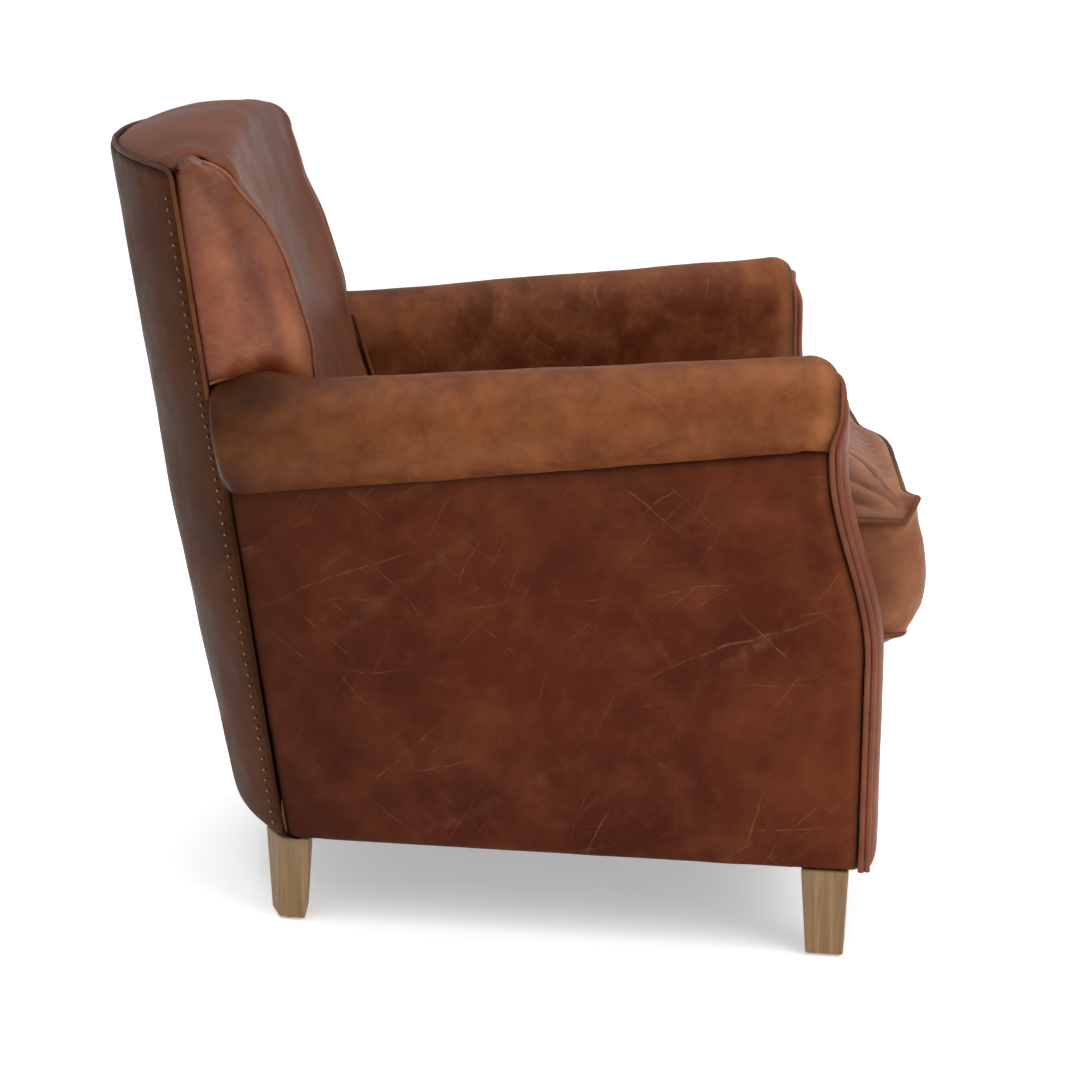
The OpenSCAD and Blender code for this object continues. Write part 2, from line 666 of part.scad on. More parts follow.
cushion_piping(cushion_z);  // cushion_piping_bottom
zip_tape();
zip_slider();
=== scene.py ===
# Looks of the rolled-arm leather armchair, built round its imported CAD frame.
# Shapes are worked out in millimetres and turned into metres when their meshes are made.
from math import acos, atan, atan2, copysign, cos, degrees, exp, hypot, pi, radians, sin, sqrt, tan
import bpy
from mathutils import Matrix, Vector, noise


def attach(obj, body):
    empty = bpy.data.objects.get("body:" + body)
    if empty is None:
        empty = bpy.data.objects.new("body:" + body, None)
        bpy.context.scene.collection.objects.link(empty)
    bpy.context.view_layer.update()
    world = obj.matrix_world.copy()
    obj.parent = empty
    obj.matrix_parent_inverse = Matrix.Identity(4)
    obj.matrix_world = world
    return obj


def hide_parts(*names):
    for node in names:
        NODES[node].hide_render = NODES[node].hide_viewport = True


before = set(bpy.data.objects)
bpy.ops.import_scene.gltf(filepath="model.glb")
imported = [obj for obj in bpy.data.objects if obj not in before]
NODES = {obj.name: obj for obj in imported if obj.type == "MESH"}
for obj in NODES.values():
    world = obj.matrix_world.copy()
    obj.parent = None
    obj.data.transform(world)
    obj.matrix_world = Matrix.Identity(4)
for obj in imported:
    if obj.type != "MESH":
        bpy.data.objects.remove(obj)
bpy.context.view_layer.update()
CHAIR, CUSHION, ZIP = "chair", "seat_cushion", "zip_slider"
scene = bpy.context.scene


# ---- the chair's shared shape, in millimetres ----

BODY_Z, REAR_HALF, REAR_Y = 98.0, 246.0, 248.0
ARM_SETBACK = 43.0
SPLAY = radians(7.8)
COS, SIN = cos(SPLAY), sin(SPLAY)
BACK_TOP, TOP_CROWN, BACK_HALF = 835.0, 28.0, 260.0
FRONT_L = -(REAR_Y + 370.0) / COS
DECK_Z, BOTTOM_SEAM, TOP_SEAM = 308.0, 327.0, 470.0
CUSHION_FRONT = -435.0
BACK_LEAN, FACE_LEAN = 0.127, 0.3           # the slope of the back's outer and inner faces
TOP_HALF, ARM_TOP = BACK_HALF - 3, 600.0    # half the top seam, and where the back leaves the arms
DECK_FRONT, DECK_REAR, DECK_SEAM = -362, 106, -282
UNDER_FRONT, UNDER_REAR = -356, 320         # the dust cover's edges
CLOTH = 0.0006                              # thickness of the thin cloths, in metres
SIDES = ((-1, "right"), (1, "left"))


def mix(a, b, t):
    return a + (b - a) * t


def clamp(v, lo=0.0, hi=1.0):
    return max(lo, min(hi, v))


def steps(a, b, n):
    """n + 1 even steps from a to b."""
    return [mix(a, b, i / n) for i in range(n + 1)]


def ease(a, b, v):
    t = clamp((v - a) / (b - a))
    return t * t * (3 - 2 * t)


def fade(d, reach):
    """1 at d = 0, falling away with the distance d."""
    return exp(-d / reach)


def bell(d, width):
    return exp(-(d / width) ** 2)


def arc(t):
    """Half a wave: 0 at t = 0 and 1, and 1 halfway."""
    return sin(pi * t)


def bumps(x, y, z):
    """Smooth noise between about -1 and 1."""
    return noise.noise(Vector((x, y, z)))


def front_edge(z):
    return FRONT_L + ARM_SETBACK / COS * ease(335, 545, z)


def corner_y(z):
    return REAR_Y + (z - BODY_Z) * BACK_LEAN


def corner_x(z):
    return mix(REAR_HALF - (corner_y(z) - REAR_Y) * tan(SPLAY), BACK_HALF, ease(485, 625, z))


def outside_y(x, z):
    bow = 93 * mix(0.84, 1, ease(BODY_Z, 485, z))
    return corner_y(z) + bow * (1 - min(1, abs(x) / corner_x(z)) ** 2.4)


def face_y(z):
    return 175 + (z - 505) * FACE_LEAN


def edge_back(u, z):
    """The inside back's face stands further back towards its top corners."""
    return abs(u) ** 3 * (11 * ease(775, 840, z) - 10 * ease(590, 650, z) * (1 - ease(715, 790, z)))


def hump(y):
    """How far the arm's leather rises at the foot of the back's boxing."""
    return 10.5 * bell(y - 257, 34)


def hollow(x, z):
    return 14 * mix(0.4, 1, ease(300, 800, z)) * (1 - min(1, abs(x) / 190) ** 2)


def top_z(x):
    return BACK_TOP + TOP_CROWN * (1 - (x / BACK_HALF) ** 2)


def rear_top_z(x):
    return BACK_TOP - 7 + 9 * (1 - (x / BACK_HALF) ** 2)


def arm_inner(y):
    return 193 + (200 - y) * 0.1052


def seam_x(z):
    return mix(arm_inner(face_y(z)) - 1.5, TOP_HALF, ease(752, 822, z))


def roll(y):
    """Centre x, centre z and radius of the arm's roll, in the arm's own frame."""
    t = (50 - y) / 615
    return mix(3.5, -23.9, t), mix(545, 595, t), mix(60, 52, t)


def tuck_z(y):
    cx, cz, r = roll(y)
    return cz - sqrt(r * r - cx * cx)


def roll_top_z(x):
    return 546 + sqrt(61 ** 2 - min(57, abs(x - 246)) ** 2)


def from_arm(p, side):
    """A point of the arm's own frame in the chair's frame: side is 1 for left, -1 for right."""
    x, y, z = p
    return (side * (REAR_HALF + x * COS - y * SIN), REAR_Y + x * SIN + y * COS, z)


def fbm(p, size, octaves, seed):
    """Smooth noise between about -1 and 1, with features of a size in millimetres."""
    q = Vector(p) / size + Vector((seed * 13.7, seed * 5.1, seed * 9.3))
    total, gain = 0.0, 1.0
    for _ in range(octaves):
        total += gain * noise.noise(q)
        q, gain = q * 2.1, gain * 0.5
    return total


# ---- mesh helpers ----

def grid(rows, closed=False):
    """The points of equal rows, and the faces between them; closed joins each row's ends."""
    cols = len(rows[0])
    faces = []
    for i in range(len(rows) - 1):
        for j in range(cols if closed else cols - 1):
            k = (j + 1) % cols
            faces.append((i * cols + j, i * cols + k, (i + 1) * cols + k, (i + 1) * cols + j))
    return [p for row in rows for p in row], faces


def set_marks(mesh, marks):
    """Smooth faces, and the two values that the materials read at each point: painted shade, and wear
    with painted highlight.
    """
    for key in ("shade", "wear"):
        layer = mesh.attributes.new(key, "FLOAT", "POINT")
        if key in marks:
            layer.data.foreach_set("value", marks[key])
    mesh.polygons.foreach_set("use_smooth", [True] * len(mesh.polygons))


def new_object(name, verts, faces, marks=None):
    """A mesh from points in millimetres."""
    mesh = bpy.data.meshes.new(name)
    mesh.from_pydata([(x / 1000, y / 1000, z / 1000) for x, y, z in verts], [], faces)
    mesh.update()
    set_marks(mesh, marks or {})
    piece = bpy.data.objects.new(name, mesh)
    scene.collection.objects.link(piece)
    return piece


def face_outwards(piece, hint):
    """Turns the faces so that most of their area looks along hint, a vector or a function of place."""
    total = 0.0
    for f in piece.data.polygons:
        way = hint(f.center) if callable(hint) else hint
        total += f.normal.dot(Vector(way)) * f.area
    if total < 0:
        piece.data.flip_normals()


def ripple(piece, size, depth, fine, fine_depth, seed):
    """Moves the surface in and out a little, as leather over padding lies."""
    normals = [v.normal.copy() for v in piece.data.vertices]
    for way, v in zip(normals, piece.data.vertices):
        p = v.co * 1000
        v.co += way * (depth * fbm(p, size, 2, seed) + fine_depth * fbm(p, fine, 2, seed + 3)) / 1000
    piece.data.update()


def modifier(piece, kind, **settings):
    m = piece.modifiers.new(kind.lower(), kind)
    for key, value in settings.items():
        setattr(m, key, value)
    return m


def finish_piece(piece, material, body=CHAIR, nodes=()):
    piece.data.materials.clear()
    piece.data.materials.append(material)
    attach(piece, body)
    if nodes:
        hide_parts(*nodes)


def leather_panel(name, size, at, hint, material, nodes, thick=1.6,
                  wobble=(60.0, 0.5, 18.0, 0.15), seed=0.0):
    """A sewn panel of rows and columns of points: at(i, j) gives a point, its painted shade, and its
    wear and painted highlight.
    """
    rows, marks = [], {"shade": [], "wear": []}
    for i in range(size[0]):
        rows.append([])
        for j in range(size[1]):
            point, shade, wear = at(i, j)
            rows[-1].append(point)
            marks["shade"].append(clamp(shade))
            marks["wear"].append(clamp(wear))
    piece = new_object(name, *grid(rows), marks)
    face_outwards(piece, hint)
    ripple(piece, *wobble, seed)
    modifier(piece, "SOLIDIFY", thickness=thick / 1000, offset=-1.0)
    modifier(piece, "SUBSURF", levels=1, render_levels=1)
    finish_piece(piece, material, CHAIR, nodes)


def tube(name, path, radius, material, seed, wear, shade=0.0, body=CHAIR, nodes=(), closed=False):
    """A welt: a cord wrapped in leather along a path, with a slightly uneven radius."""
    points = [Vector(p) for p in path]
    n, sides = len(points), 10
    rings, up = [], None
    # the welt's marks: painted shade, and wear with painted highlight
    marks = {"shade": [], "wear": [wear] * (n * sides)}
    for i, p in enumerate(points):
        ahead = points[(i + 1) % n] if closed else points[min(n - 1, i + 1)]
        behind = points[i - 1] if closed or i else points[0]
        along = (ahead - behind).normalized()
        if up is None:
            up = along.orthogonal().normalized()
        up = (up - along * up.dot(along)).normalized()
        side = along.cross(up)
        r = radius * (1 + 0.05 * fbm(p, 9, 2, seed))
        wobble = Vector([fbm(p, 35, 1, seed + k) for k in (1, 2, 3)]) * 0.35
        marks["shade"] += [shade(p) if callable(shade) else shade] * sides
        angles = [2 * pi * k / sides for k in range(sides)]
        rings.append([tuple(p + wobble + (up * cos(a) + side * sin(a)) * r) for a in angles])
    verts, faces = grid(rings, closed=True)
    last = (n - 1) * sides
    if closed:
        faces += [(last + k, last + (k + 1) % sides, (k + 1) % sides, k) for k in range(sides)]
    else:
        faces += [tuple(range(sides))[::-1], tuple(range(last, n * sides))]
    piece = new_object(name, verts, faces, marks)
    if sum(Vector(f.center).dot(f.normal) * f.area for f in piece.data.polygons) < 0:
        piece.data.flip_normals()
    finish_piece(piece, material, body, nodes)


def resample(path, step, closed=False):
    """The path again, with points about step apart."""
    points = [Vector(p) for p in path] + ([Vector(path[0])] if closed else [])
    lengths = [0.0]
    for a, b in zip(points, points[1:]):
        lengths.append(lengths[-1] + (b - a).length)
    count = max(2, round(lengths[-1] / step))
    out, k = [], 0
    for i in range(count if closed else count + 1):
        s = lengths[-1] * i / count
        while k < len(points) - 2 and lengths[k + 1] < s:
            k += 1
        span = lengths[k + 1] - lengths[k]
        out.append(points[k].lerp(points[k + 1], (s - lengths[k]) / span if span else 0))
    return [tuple(p) for p in out]


def smooth_path(path, rounds, closed=False):
    points = [Vector(p) for p in path]
    for _ in range(rounds):
        n = len(points)
        points = [points[i] if not closed and i in (0, n - 1)
                  else (points[i - 1] + points[i] * 2 + points[(i + 1) % n]) / 4 for i in range(n)]
    return [tuple(p) for p in points]


# ---- materials ----

def srgb(code):
    out = []
    for i in (0, 2, 4):
        v = int(code[i:i + 2], 16) / 255
        out.append(v / 12.92 if v <= 0.04045 else ((v + 0.055) / 1.055) ** 2.4)
    return (*out, 1.0)


def put(tree, socket, value):
    """Links a socket to another node's output, or sets its constant."""
    if hasattr(value, "is_output"):
        tree.links.new(value, socket)
    else:
        socket.default_value = value


def add_node(tree, kind, *values, **named):
    """A new node: small names are settings, capital ones inputs, and values fill inputs in order."""
    node = tree.nodes.new("ShaderNode" + kind)
    for key, value in named.items():
        if key[0].islower():
            setattr(node, key, value)
        else:
            put(tree, node.inputs[key.replace("_", " ")], value)
    for socket, value in zip(node.inputs, values):
        put(tree, socket, value)
    return node


class Shader:
    """Short names for making a material's nodes."""

    def __init__(self, name):
        self.material = bpy.data.materials.new(name)
        self.material.use_nodes = True
        self.tree = self.material.node_tree
        self.tree.nodes.clear()
        out = self.node("OutputMaterial")
        self.bsdf = self.node("BsdfPrincipled")
        put(self.tree, out.inputs["Surface"], self.bsdf.outputs["BSDF"])
        self.place = self.node("TexCoord").outputs["Object"]

    def node(self, kind, *values, **named):
        return add_node(self.tree, kind, *values, **named)

    def look(self, **inputs):
        """Fills the surface's inputs and gives the material."""
        for key, value in inputs.items():
            put(self.tree, self.bsdf.inputs[key.replace("_", " ")], value)
        return self.material

    def math(self, kind, *values):
        return self.node("Math", *values, operation=kind).outputs[0]

    def times(self, a, b):
        return self.math("MULTIPLY", a, b)

    def parts(self, vector):
        return self.node("SeparateXYZ", vector).outputs

    def mapped(self, scale=(1, 1, 1), turn=(0, 0, 0), shift=(0, 0, 0), source=None):
        return self.node("Mapping", Vector=source or self.place, Scale=scale, Rotation=turn,
                         Location=shift).outputs[0]

    def noise(self, scale, detail=3.0, rough=0.5, twist=0.0, vector=None):
        return self.node("TexNoise", Vector=vector or self.place, Scale=scale, Detail=detail,
                         Roughness=rough, Distortion=twist).outputs["Fac"]

    def cells(self, scale, feature="F1"):
        node = self.node("TexVoronoi", feature=feature, Vector=self.place, Scale=scale)
        return node.outputs["Distance"]

    def wave(self, scale, direction, twist, detail, vector=None, profile="SIN"):
        return self.node("TexWave", bands_direction=direction, wave_profile=profile, Scale=scale,
                         Vector=vector or self.place, Distortion=twist, Detail=detail).outputs["Fac"]

    def between(self, value, lo, hi, to_lo=0.0, to_hi=1.0):
        return self.node("MapRange", value, lo, hi, to_lo, to_hi,
                         interpolation_type="SMOOTHSTEP").outputs["Result"]

    def folded(self):
        """The object's place with both of its halves laid on each other."""
        x, y, z = self.parts(self.place)
        return self.node("CombineXYZ", self.math("ABSOLUTE", x), y, z).outputs[0]

    def strokes(self, face, degrees, length, pitch, width, share, seed):
        """Thin straight strokes, one in each cell of a staggered grid that is turned by an angle."""
        turned = self.mapped(turn=(radians(degrees), 0, 0), source=face)
        cell = self.mapped(scale=(0, 1 / length, 1 / pitch), shift=(0, seed * 0.37, seed * 0.71),
                           source=turned)
        _, y, z = self.parts(cell)
        row = self.math("FLOOR", z)
        dice = self.node("TexWhiteNoise", noise_dimensions="1D", W=self.math("ADD", row, seed * 0.13))
        along = self.math("MULTIPLY_ADD", dice.outputs["Value"], 7.0, y)
        column = self.math("FLOOR", along)
        place = self.node("CombineXYZ", row, column, float(seed)).outputs[0]
        lot = self.node("TexWhiteNoise", Vector=place).outputs
        _, lean, lift = self.parts(lot["Color"])
        u = self.math("SUBTRACT", self.math("SUBTRACT", along, column), 0.5)
        v = self.math("SUBTRACT", self.math("SUBTRACT", z, row), 0.5)
        tilt = self.math("MULTIPLY_ADD", lean, 0.9, -0.45)
        middle = self.math("MULTIPLY_ADD", lift, 0.4, -0.2)
        off = self.math("SUBTRACT", self.math("SUBTRACT", v, middle), self.times(u, tilt))
        off = self.math("ABSOLUTE", off)
        line = self.between(off, 0.0, width / pitch, 1.0, 0.0)
        ends = self.between(self.math("ABSOLUTE", u), 0.18, 0.48, 1.0, 0.0)
        return self.times(self.times(line, ends), self.between(lot["Value"], 1 - share, 1.0))

    def warped(self, vector, scale, amount):
        """The vector, bent a little by noise."""
        bend = self.node("TexNoise", Vector=vector, Scale=scale).outputs["Color"]
        return self.node("VectorMath", bend, (amount,) * 3, vector, operation="MULTIPLY_ADD").outputs[0]

    def blend(self, fac, a, b):
        n = self.node("Mix", data_type="RGBA", clamp_factor=True)
        for socket, value in zip((n.inputs[0], n.inputs[6], n.inputs[7]), (fac, a, b)):
            put(self.tree, socket, value)
        return n.outputs[2]

    def mark(self, name):
        return self.node("Attribute", attribute_type="GEOMETRY", attribute_name=name).outputs["Fac"]

    def bump(self, height, distance, strength, base=None):
        n = self.node("Bump", Strength=strength, Distance=distance, Height=height)
        if base:
            put(self.tree, n.inputs["Normal"], base)
        return n.outputs["Normal"]


def leather(name, deep, body, pulled, scratches, pull, shine, sheen, gloss, facing, seed):
    """Aged leather: patches of a deep and a body colour, paler pulled areas and fine scuffs, with
    painted shade and painted highlight laid on from the marks.
    """
    s = Shader(name)
    deep, body, pulled = srgb(deep), srgb(body), srgb(pulled)
    here = s.mapped(shift=(seed, seed * 0.7, seed * 1.3))
    clouds = s.noise(13, 5, 0.6, 0.3, here)
    mottle = s.noise(46, 6, 0.68, 0.0, here)
    colour = s.blend(s.between(s.noise(4.2, 4, 0.55, 0.5, here), 0.24, 0.72), deep, body)
    colour = s.blend(s.times(s.between(clouds, 0.36, 0.84), pull), colour, pulled)
    colour = s.blend(s.times(s.between(mottle, 0.5, 0.78), 0.32 * pull + 0.1), colour, pulled)
    colour = s.blend(s.times(s.between(mottle, 0.5, 0.26), 0.35), colour, deep)
    # scuffs: short straight strokes in several directions, broken up by noise
    place = s.folded() if facing in ("side", "arm") else s.place
    face = s.mapped(turn=FACING[facing], source=s.warped(s.warped(place, 7.0, 0.03), 45.0, 0.004))
    lines = None
    for k, (strength, *stroke) in enumerate(SCUFFS):
        line = s.times(s.strokes(face, *stroke, seed * 3 + k), strength)
        lines = line if lines is None else s.math("MAXIMUM", lines, line)
    lines = s.times(lines, s.between(s.noise(9.0, 4, 0.6, 0, here), 0.36, 0.62, 0.15, 1.0))
    lines = s.times(lines, s.between(s.noise(85.0, 3, 0.7, 0, here), 0.36, 0.6, 0.1, 1.0))
    colour = s.blend(s.times(lines, scratches), colour, srgb("b98660"))
    # wear and painted highlight: the second mark turns the colour towards the pulled tone
    colour = s.blend(s.times(s.mark("wear"), s.between(mottle, 0.25, 0.6, 0.55, 1.0)), colour, pulled)
    rough = s.between(clouds, 0.3, 0.75, gloss - 0.06, gloss + 0.12)
    creases = s.bump(s.noise(30, 4, 0.6, 0.6, here), 0.0022, 0.22)
    pores = s.between(s.cells(520, "DISTANCE_TO_EDGE"), 0.0, 0.16)
    grain = s.math("ADD", s.times(pores, 0.6), s.noise(240, 3, 0.6))
    # painted shade: the shade mark darkens the colour towards 160a06
    return s.look(Base_Color=s.blend(s.mark("shade"), colour, srgb("160a06")),
                  Roughness=s.math("ADD", rough, s.times(lines, 0.12)), Specular_IOR_Level=shine,
                  Sheen_Weight=sheen, Sheen_Roughness=0.35, Normal=s.bump(grain, 0.00035, 0.5, creases))


# strength, direction in degrees, length, spacing and width in metres, share of strokes that show
SCUFFS = (
    (0.9, 24, 0.30, 0.070, 0.0017, 0.45),
    (0.9, -38, 0.10, 0.030, 0.0014, 0.4),
    (0.8, 68, 0.08, 0.024, 0.0012, 0.4),
    (0.8, 8, 0.11, 0.027, 0.0012, 0.35),
    (0.8, 47, 0.06, 0.018, 0.0011, 0.35),
    (0.5, 31, 0.26, 0.085, 0.0110, 0.5),
    (0.45, -50, 0.13, 0.055, 0.0080, 0.45),
)
# the turn that lays a panel's own plane on Y and Z
FACING = {
    "side": (0.0, 0.0, 0.0),
    "arm": (0.0, pi / 4, 0.0),
    "top": (0.0, pi / 2, 0.0),
    "front": (0.0, 0.0, pi / 2),
}

# deep, body and pulled colour, scratches, pull, shine, sheen, gloss, facing, seed
LEATHERS = {
    "side": ("41170c", "562411", "7a4326", 0.26, 0.45, 0.05, 0.0, 0.42, "side", 0.0),
    "apron": ("45180c", "5b2612", "7d4528", 0.26, 0.45, 0.05, 0.0, 0.42, "front", 1.0),
    "arm": ("3f180a", "5a2a15", "9a5f38", 0.2, 0.5, 0.06, 0.0, 0.42, "arm", 2.0),
    "back": ("4d2515", "64351f", "7c4930", 0.2, 0.4, 0.06, 0.05, 0.42, "front", 4.0),
    "boxing": ("4c1c0b", "6b2f14", "b06d45", 0.25, 0.5, 0.35, 0.0, 0.33, "side", 6.0),
    "outside_back": ("321a0e", "462512", "5f3a22", 0.1, 0.35, 0.02, 0.0, 0.42, "front", 8.0),
    "cushion": ("64311d", "874c2d", "ab744b", 0.3, 0.6, 0.2, 0.06, 0.42, "top", 10.0),
    "facing": ("582613", "7a3f27", "97614a", 0.2, 0.4, 0.1, 0.03, 0.42, "front", 12.0),
    "piping": ("4a2314", "6a381c", "955f3a", 0.15, 0.6, 0.08, 0.0, 0.42, "side", 14.0),
}
M = {key: leather(f"leather_{key}", *row) for key, row in LEATHERS.items()}


# ---- arms ----

ROUND_FRONT, ROUND_DROP = 27.0, 19.0        # how the roll turns down to the facing's seam
FACING_Y = -565                             # where the roll's section gives the facing its outline
ROLL_TURNS, INNER_STEPS = 44, 16            # points round the roll and down the arm's inner face


def roll_start(y):
    cx, _, r = roll(y)
    return -degrees(acos(clamp(-cx / r, -1, 1)))


def front_drop(angle, start):
    """How far the roll's end has shrunk at its front seam, by the angle round the roll."""
    return ROUND_DROP * ease(start + 4, start + 60, angle)


def seam_y(z, angle):
    """The front seam's place along the arm: it stands forward round the roll."""
    return front_edge(z) - 9.5 * forward(angle)


def forward(angle):
    """1 on the outer side of the roll, less over its top and nothing inside."""
    return ease(-50, 0, angle) * ease(120, 45, angle)


def arm_section(y, front, rear):
    """One ring of the arm's leather: (x, z, angle) round the roll and down the inner face."""
    cx, cz, r = roll(y)
    start = roll_start(y)
    out = []
    for angle in steps(start - 7, 180, ROLL_TURNS):
        a = radians(angle)
        inside = r - front * front_drop(angle, start) - rear * mix(13, 5, ease(-40, 60, angle))
        if angle < start + 12:
            inside -= 2.5 * (1 - ease(start - 7, start + 12, angle))
        out.append((cx + inside * cos(a), cz + inside * sin(a), angle))
    foot = cx - r + front * ROUND_DROP * 0.75
    for k, down in enumerate(steps(0, 1, INNER_STEPS)[1:]):
        out.append((foot - 1.2 * arc(down), mix(cz, 300, down), 181 + k))
    return out


def arm_cover(side, word):
    """The leather round the roll and down the arm's inner face, in rings from the rear to the front."""
    rings = [("rear", cos(radians(9 * i))) for i in range(10)]  # 1 at the very end
    rings += [("run", v) for v in steps(0, 1, 70)[1:-1]]
    rings += [("front", sin(radians(9 * i))) for i in range(11)]
    middles, sections = [], []
    for kind, v in rings:
        middles.append({"rear": 52, "run": mix(52, -560, v), "front": -575}[kind])
        drawn_in = 1 - sqrt(max(0.0, 1 - v * v))
        sections.append(arm_section(middles[-1], drawn_in if kind == "front" else 0.0,
                                    drawn_in if kind == "rear" else 0.0))

    def at(i, j):
        kind, v = rings[i]
        x, z, angle = sections[i][j]
        start = roll_start(middles[i])
        limit = (corner_y(z) - 3.5 - REAR_Y - x * SIN) / COS
        if angle > 90:
            hidden = (face_y(z) + 60 - REAR_Y - x * SIN) / COS
            limit = mix(limit, min(limit, hidden), ease(110, 150, angle))
        seam = seam_y(z, angle) - 0.5
        if kind == "rear":
            y = limit - 12 * (1 - v)
        elif kind == "run":
            y = mix(limit - 12, seam + ROUND_FRONT, v)
        else:
            y = seam + ROUND_FRONT * (1 - v)
        d, behind = y - seam, max(0.0, limit - y)
        gather = 1.1 * fade(d, 13) * bumps(angle * 0.16, side * 4.0, d * 0.02)
        tuck = 0.9 * fade(abs(angle - start), 9) * bumps(y * 0.05, side * 9.0, 1.5)
        # painted shade: dark in the tuck under the roll and at the front seam
        deep = 0.85 * fade(max(0, angle - start + 1), 3.0)
        deep += 0.95 * fade(d, 4.5)
        if angle <= 180:
            a = radians(angle)
            back = from_arm((x, y, z), 1)[1]
            swell = hump(back) * bell(angle - 97, 38)
            if angle < 0:
                z += 3.5 * sin(-a) * ease(0, -50, angle)
            x += (gather + tuck) * cos(a)
            z += (gather + tuck) * sin(a) + swell
            # painted shade in the hollow below the hump at the foot of the back
            deep += 0.4 * bell(back - 245, 42) * bell(angle - 62, 28)
        else:
            x -= gather
        # painted shade, growing towards the roll's rear end, capped in total
        rear = 0.25 * fade(behind, 26) * ease(start + 18, start + 60, angle)
        rear += 0.5 * exp(-(behind / 150) ** 1.5) * ease(130, 90, angle)
        rub = 0.85 + 0.6 * bumps(y * 0.012, angle * 0.025, side * 6.0)
        worn = (0.5 * bell(angle - 20, 75) + 0.45 * bell(d - 14, 12)) * rub
        return from_arm((x, y, z), side), deep + min(0.56, rear), worn

    def hint(c):
        cx, cz, _ = roll(-250)
        return c - Vector(from_arm((cx, c.y * 1000 - REAR_Y, min(cz, c.z * 1000)), side)) / 1000

    leather_panel(f"arm_roll_{word}", (len(rings), len(sections[0])), at, hint, M["arm"],
                  (f"arm_cover_{word}", f"arm_foam_{word}"), seed=side,
                  wobble=(75.0, 1.0, 22.0, 0.22))


def climb(i, foot, count, low, high, tuck):
    """Push, height and share of the way up in row i of a panel with its foot and top turned in."""
    if i < len(foot):
        return (*foot[i], 0.0)
    up = i - len(foot) + 1
    beyond = max(0, up - count)
    t = min(1.0, up / count)
    return -tuck[0] * beyond, mix(low, high, t) + tuck[1] * beyond, t


def outside_arm(side, word):
    """The flat leather panel of the arm's outer side, with turned edges."""
    under = [(-26, 97.0), (-15, 97.2), (-8, 98.0), (-3.6, 100.4), (-1.3, 104.5), (-0.3, 110)]
    n_up, n_along = 50, 84

    def at(i, j):
        s = j / n_along
        s = mix(s, ease(0, 1, s), 0.35)
        z_top = tuck_z(mix(46, FRONT_L + ARM_SETBACK, s)) + 3.5
        x, z, t = climb(i, under, n_up, 110, z_top + 1, (2.4, 1.6))
        rear = mix(-5, 50, (z - BODY_Z) / 387)
        y = mix(rear, front_edge(z) - 0.5, s)
        from_front, from_rear, below = y - front_edge(z), rear - y, z_top - z
        crown = sqrt(arc(clamp(s, 0.001, 0.999)))
        x += 3.0 * crown * arc(mix(0.12, 1, t)) ** 0.6
        x -= 4.5 * max(0, 1 - from_front / 7) ** 2 + 5.5 * max(0, 1 - from_rear / 8) ** 2
        if t > 0:
            x += 0.9 * fade(below, 20) * bumps(y * 0.035, side * 3.0, z * 0.01)
        # painted shade: dark under the roll's tuck, at the turned edges and foot, and darker towards
        # the rear
        deep = 0.6 * fade(max(0, below), 4) + 0.9 * fade(from_front, 3.5)
        deep += 0.75 * fade(from_rear, 3.5) + 0.46 * fade(from_rear, 115)
        deep += 0.35 * fade(max(0, z - 98), 5)
        worn = 0.4 * bell(from_front - 7, 9) + 0.2 * fade(max(0, below), 60)
        return from_arm((x, y, z), side), deep, worn

    leather_panel(f"outside_arm_panel_{word}", (len(under) + n_up + 3, n_along + 1), at,
                  (side * COS, SIN, 0), M["side"], (f"outside_arm_{word}",),
                  seed=20 + side, wobble=(90.0, 0.9, 26.0, 0.2))


def scroll(inset, turns=30):
    """The facing's outline in the arm's frame: up the outer edge, round the roll and down inside."""
    cx, cz, r = roll(FACING_Y)
    start = roll_start(FACING_Y)
    z_tuck = cz + r * sin(radians(start))
    out = [(-inset, z, start) for z in steps(100, z_tuck - 3, 33)]
    for angle in steps(start + 3, 180, turns):
        a = radians(angle)
        rr = r - front_drop(angle, start) + 2.0 - inset
        out.append((cx + rr * cos(a), cz + rr * sin(a), angle))
    x_in = cx - r + ROUND_DROP - 2.0 + inset
    return out + [(x_in, z, 180) for z in steps(cz, 100, 29)[1:]]


def crossing(line, z):
    """The x at which an outline passes height z."""
    for (x0, z0, _), (x1, z1, _) in zip(line, line[1:]):
        if min(z0, z1) <= z <= max(z0, z1):
            break
    else:
        (x0, z0, _), (x1, z1, _) = line[:2]
    return mix(x0, x1, clamp((z - z0) / (z1 - z0)) if z1 != z0 else 0)


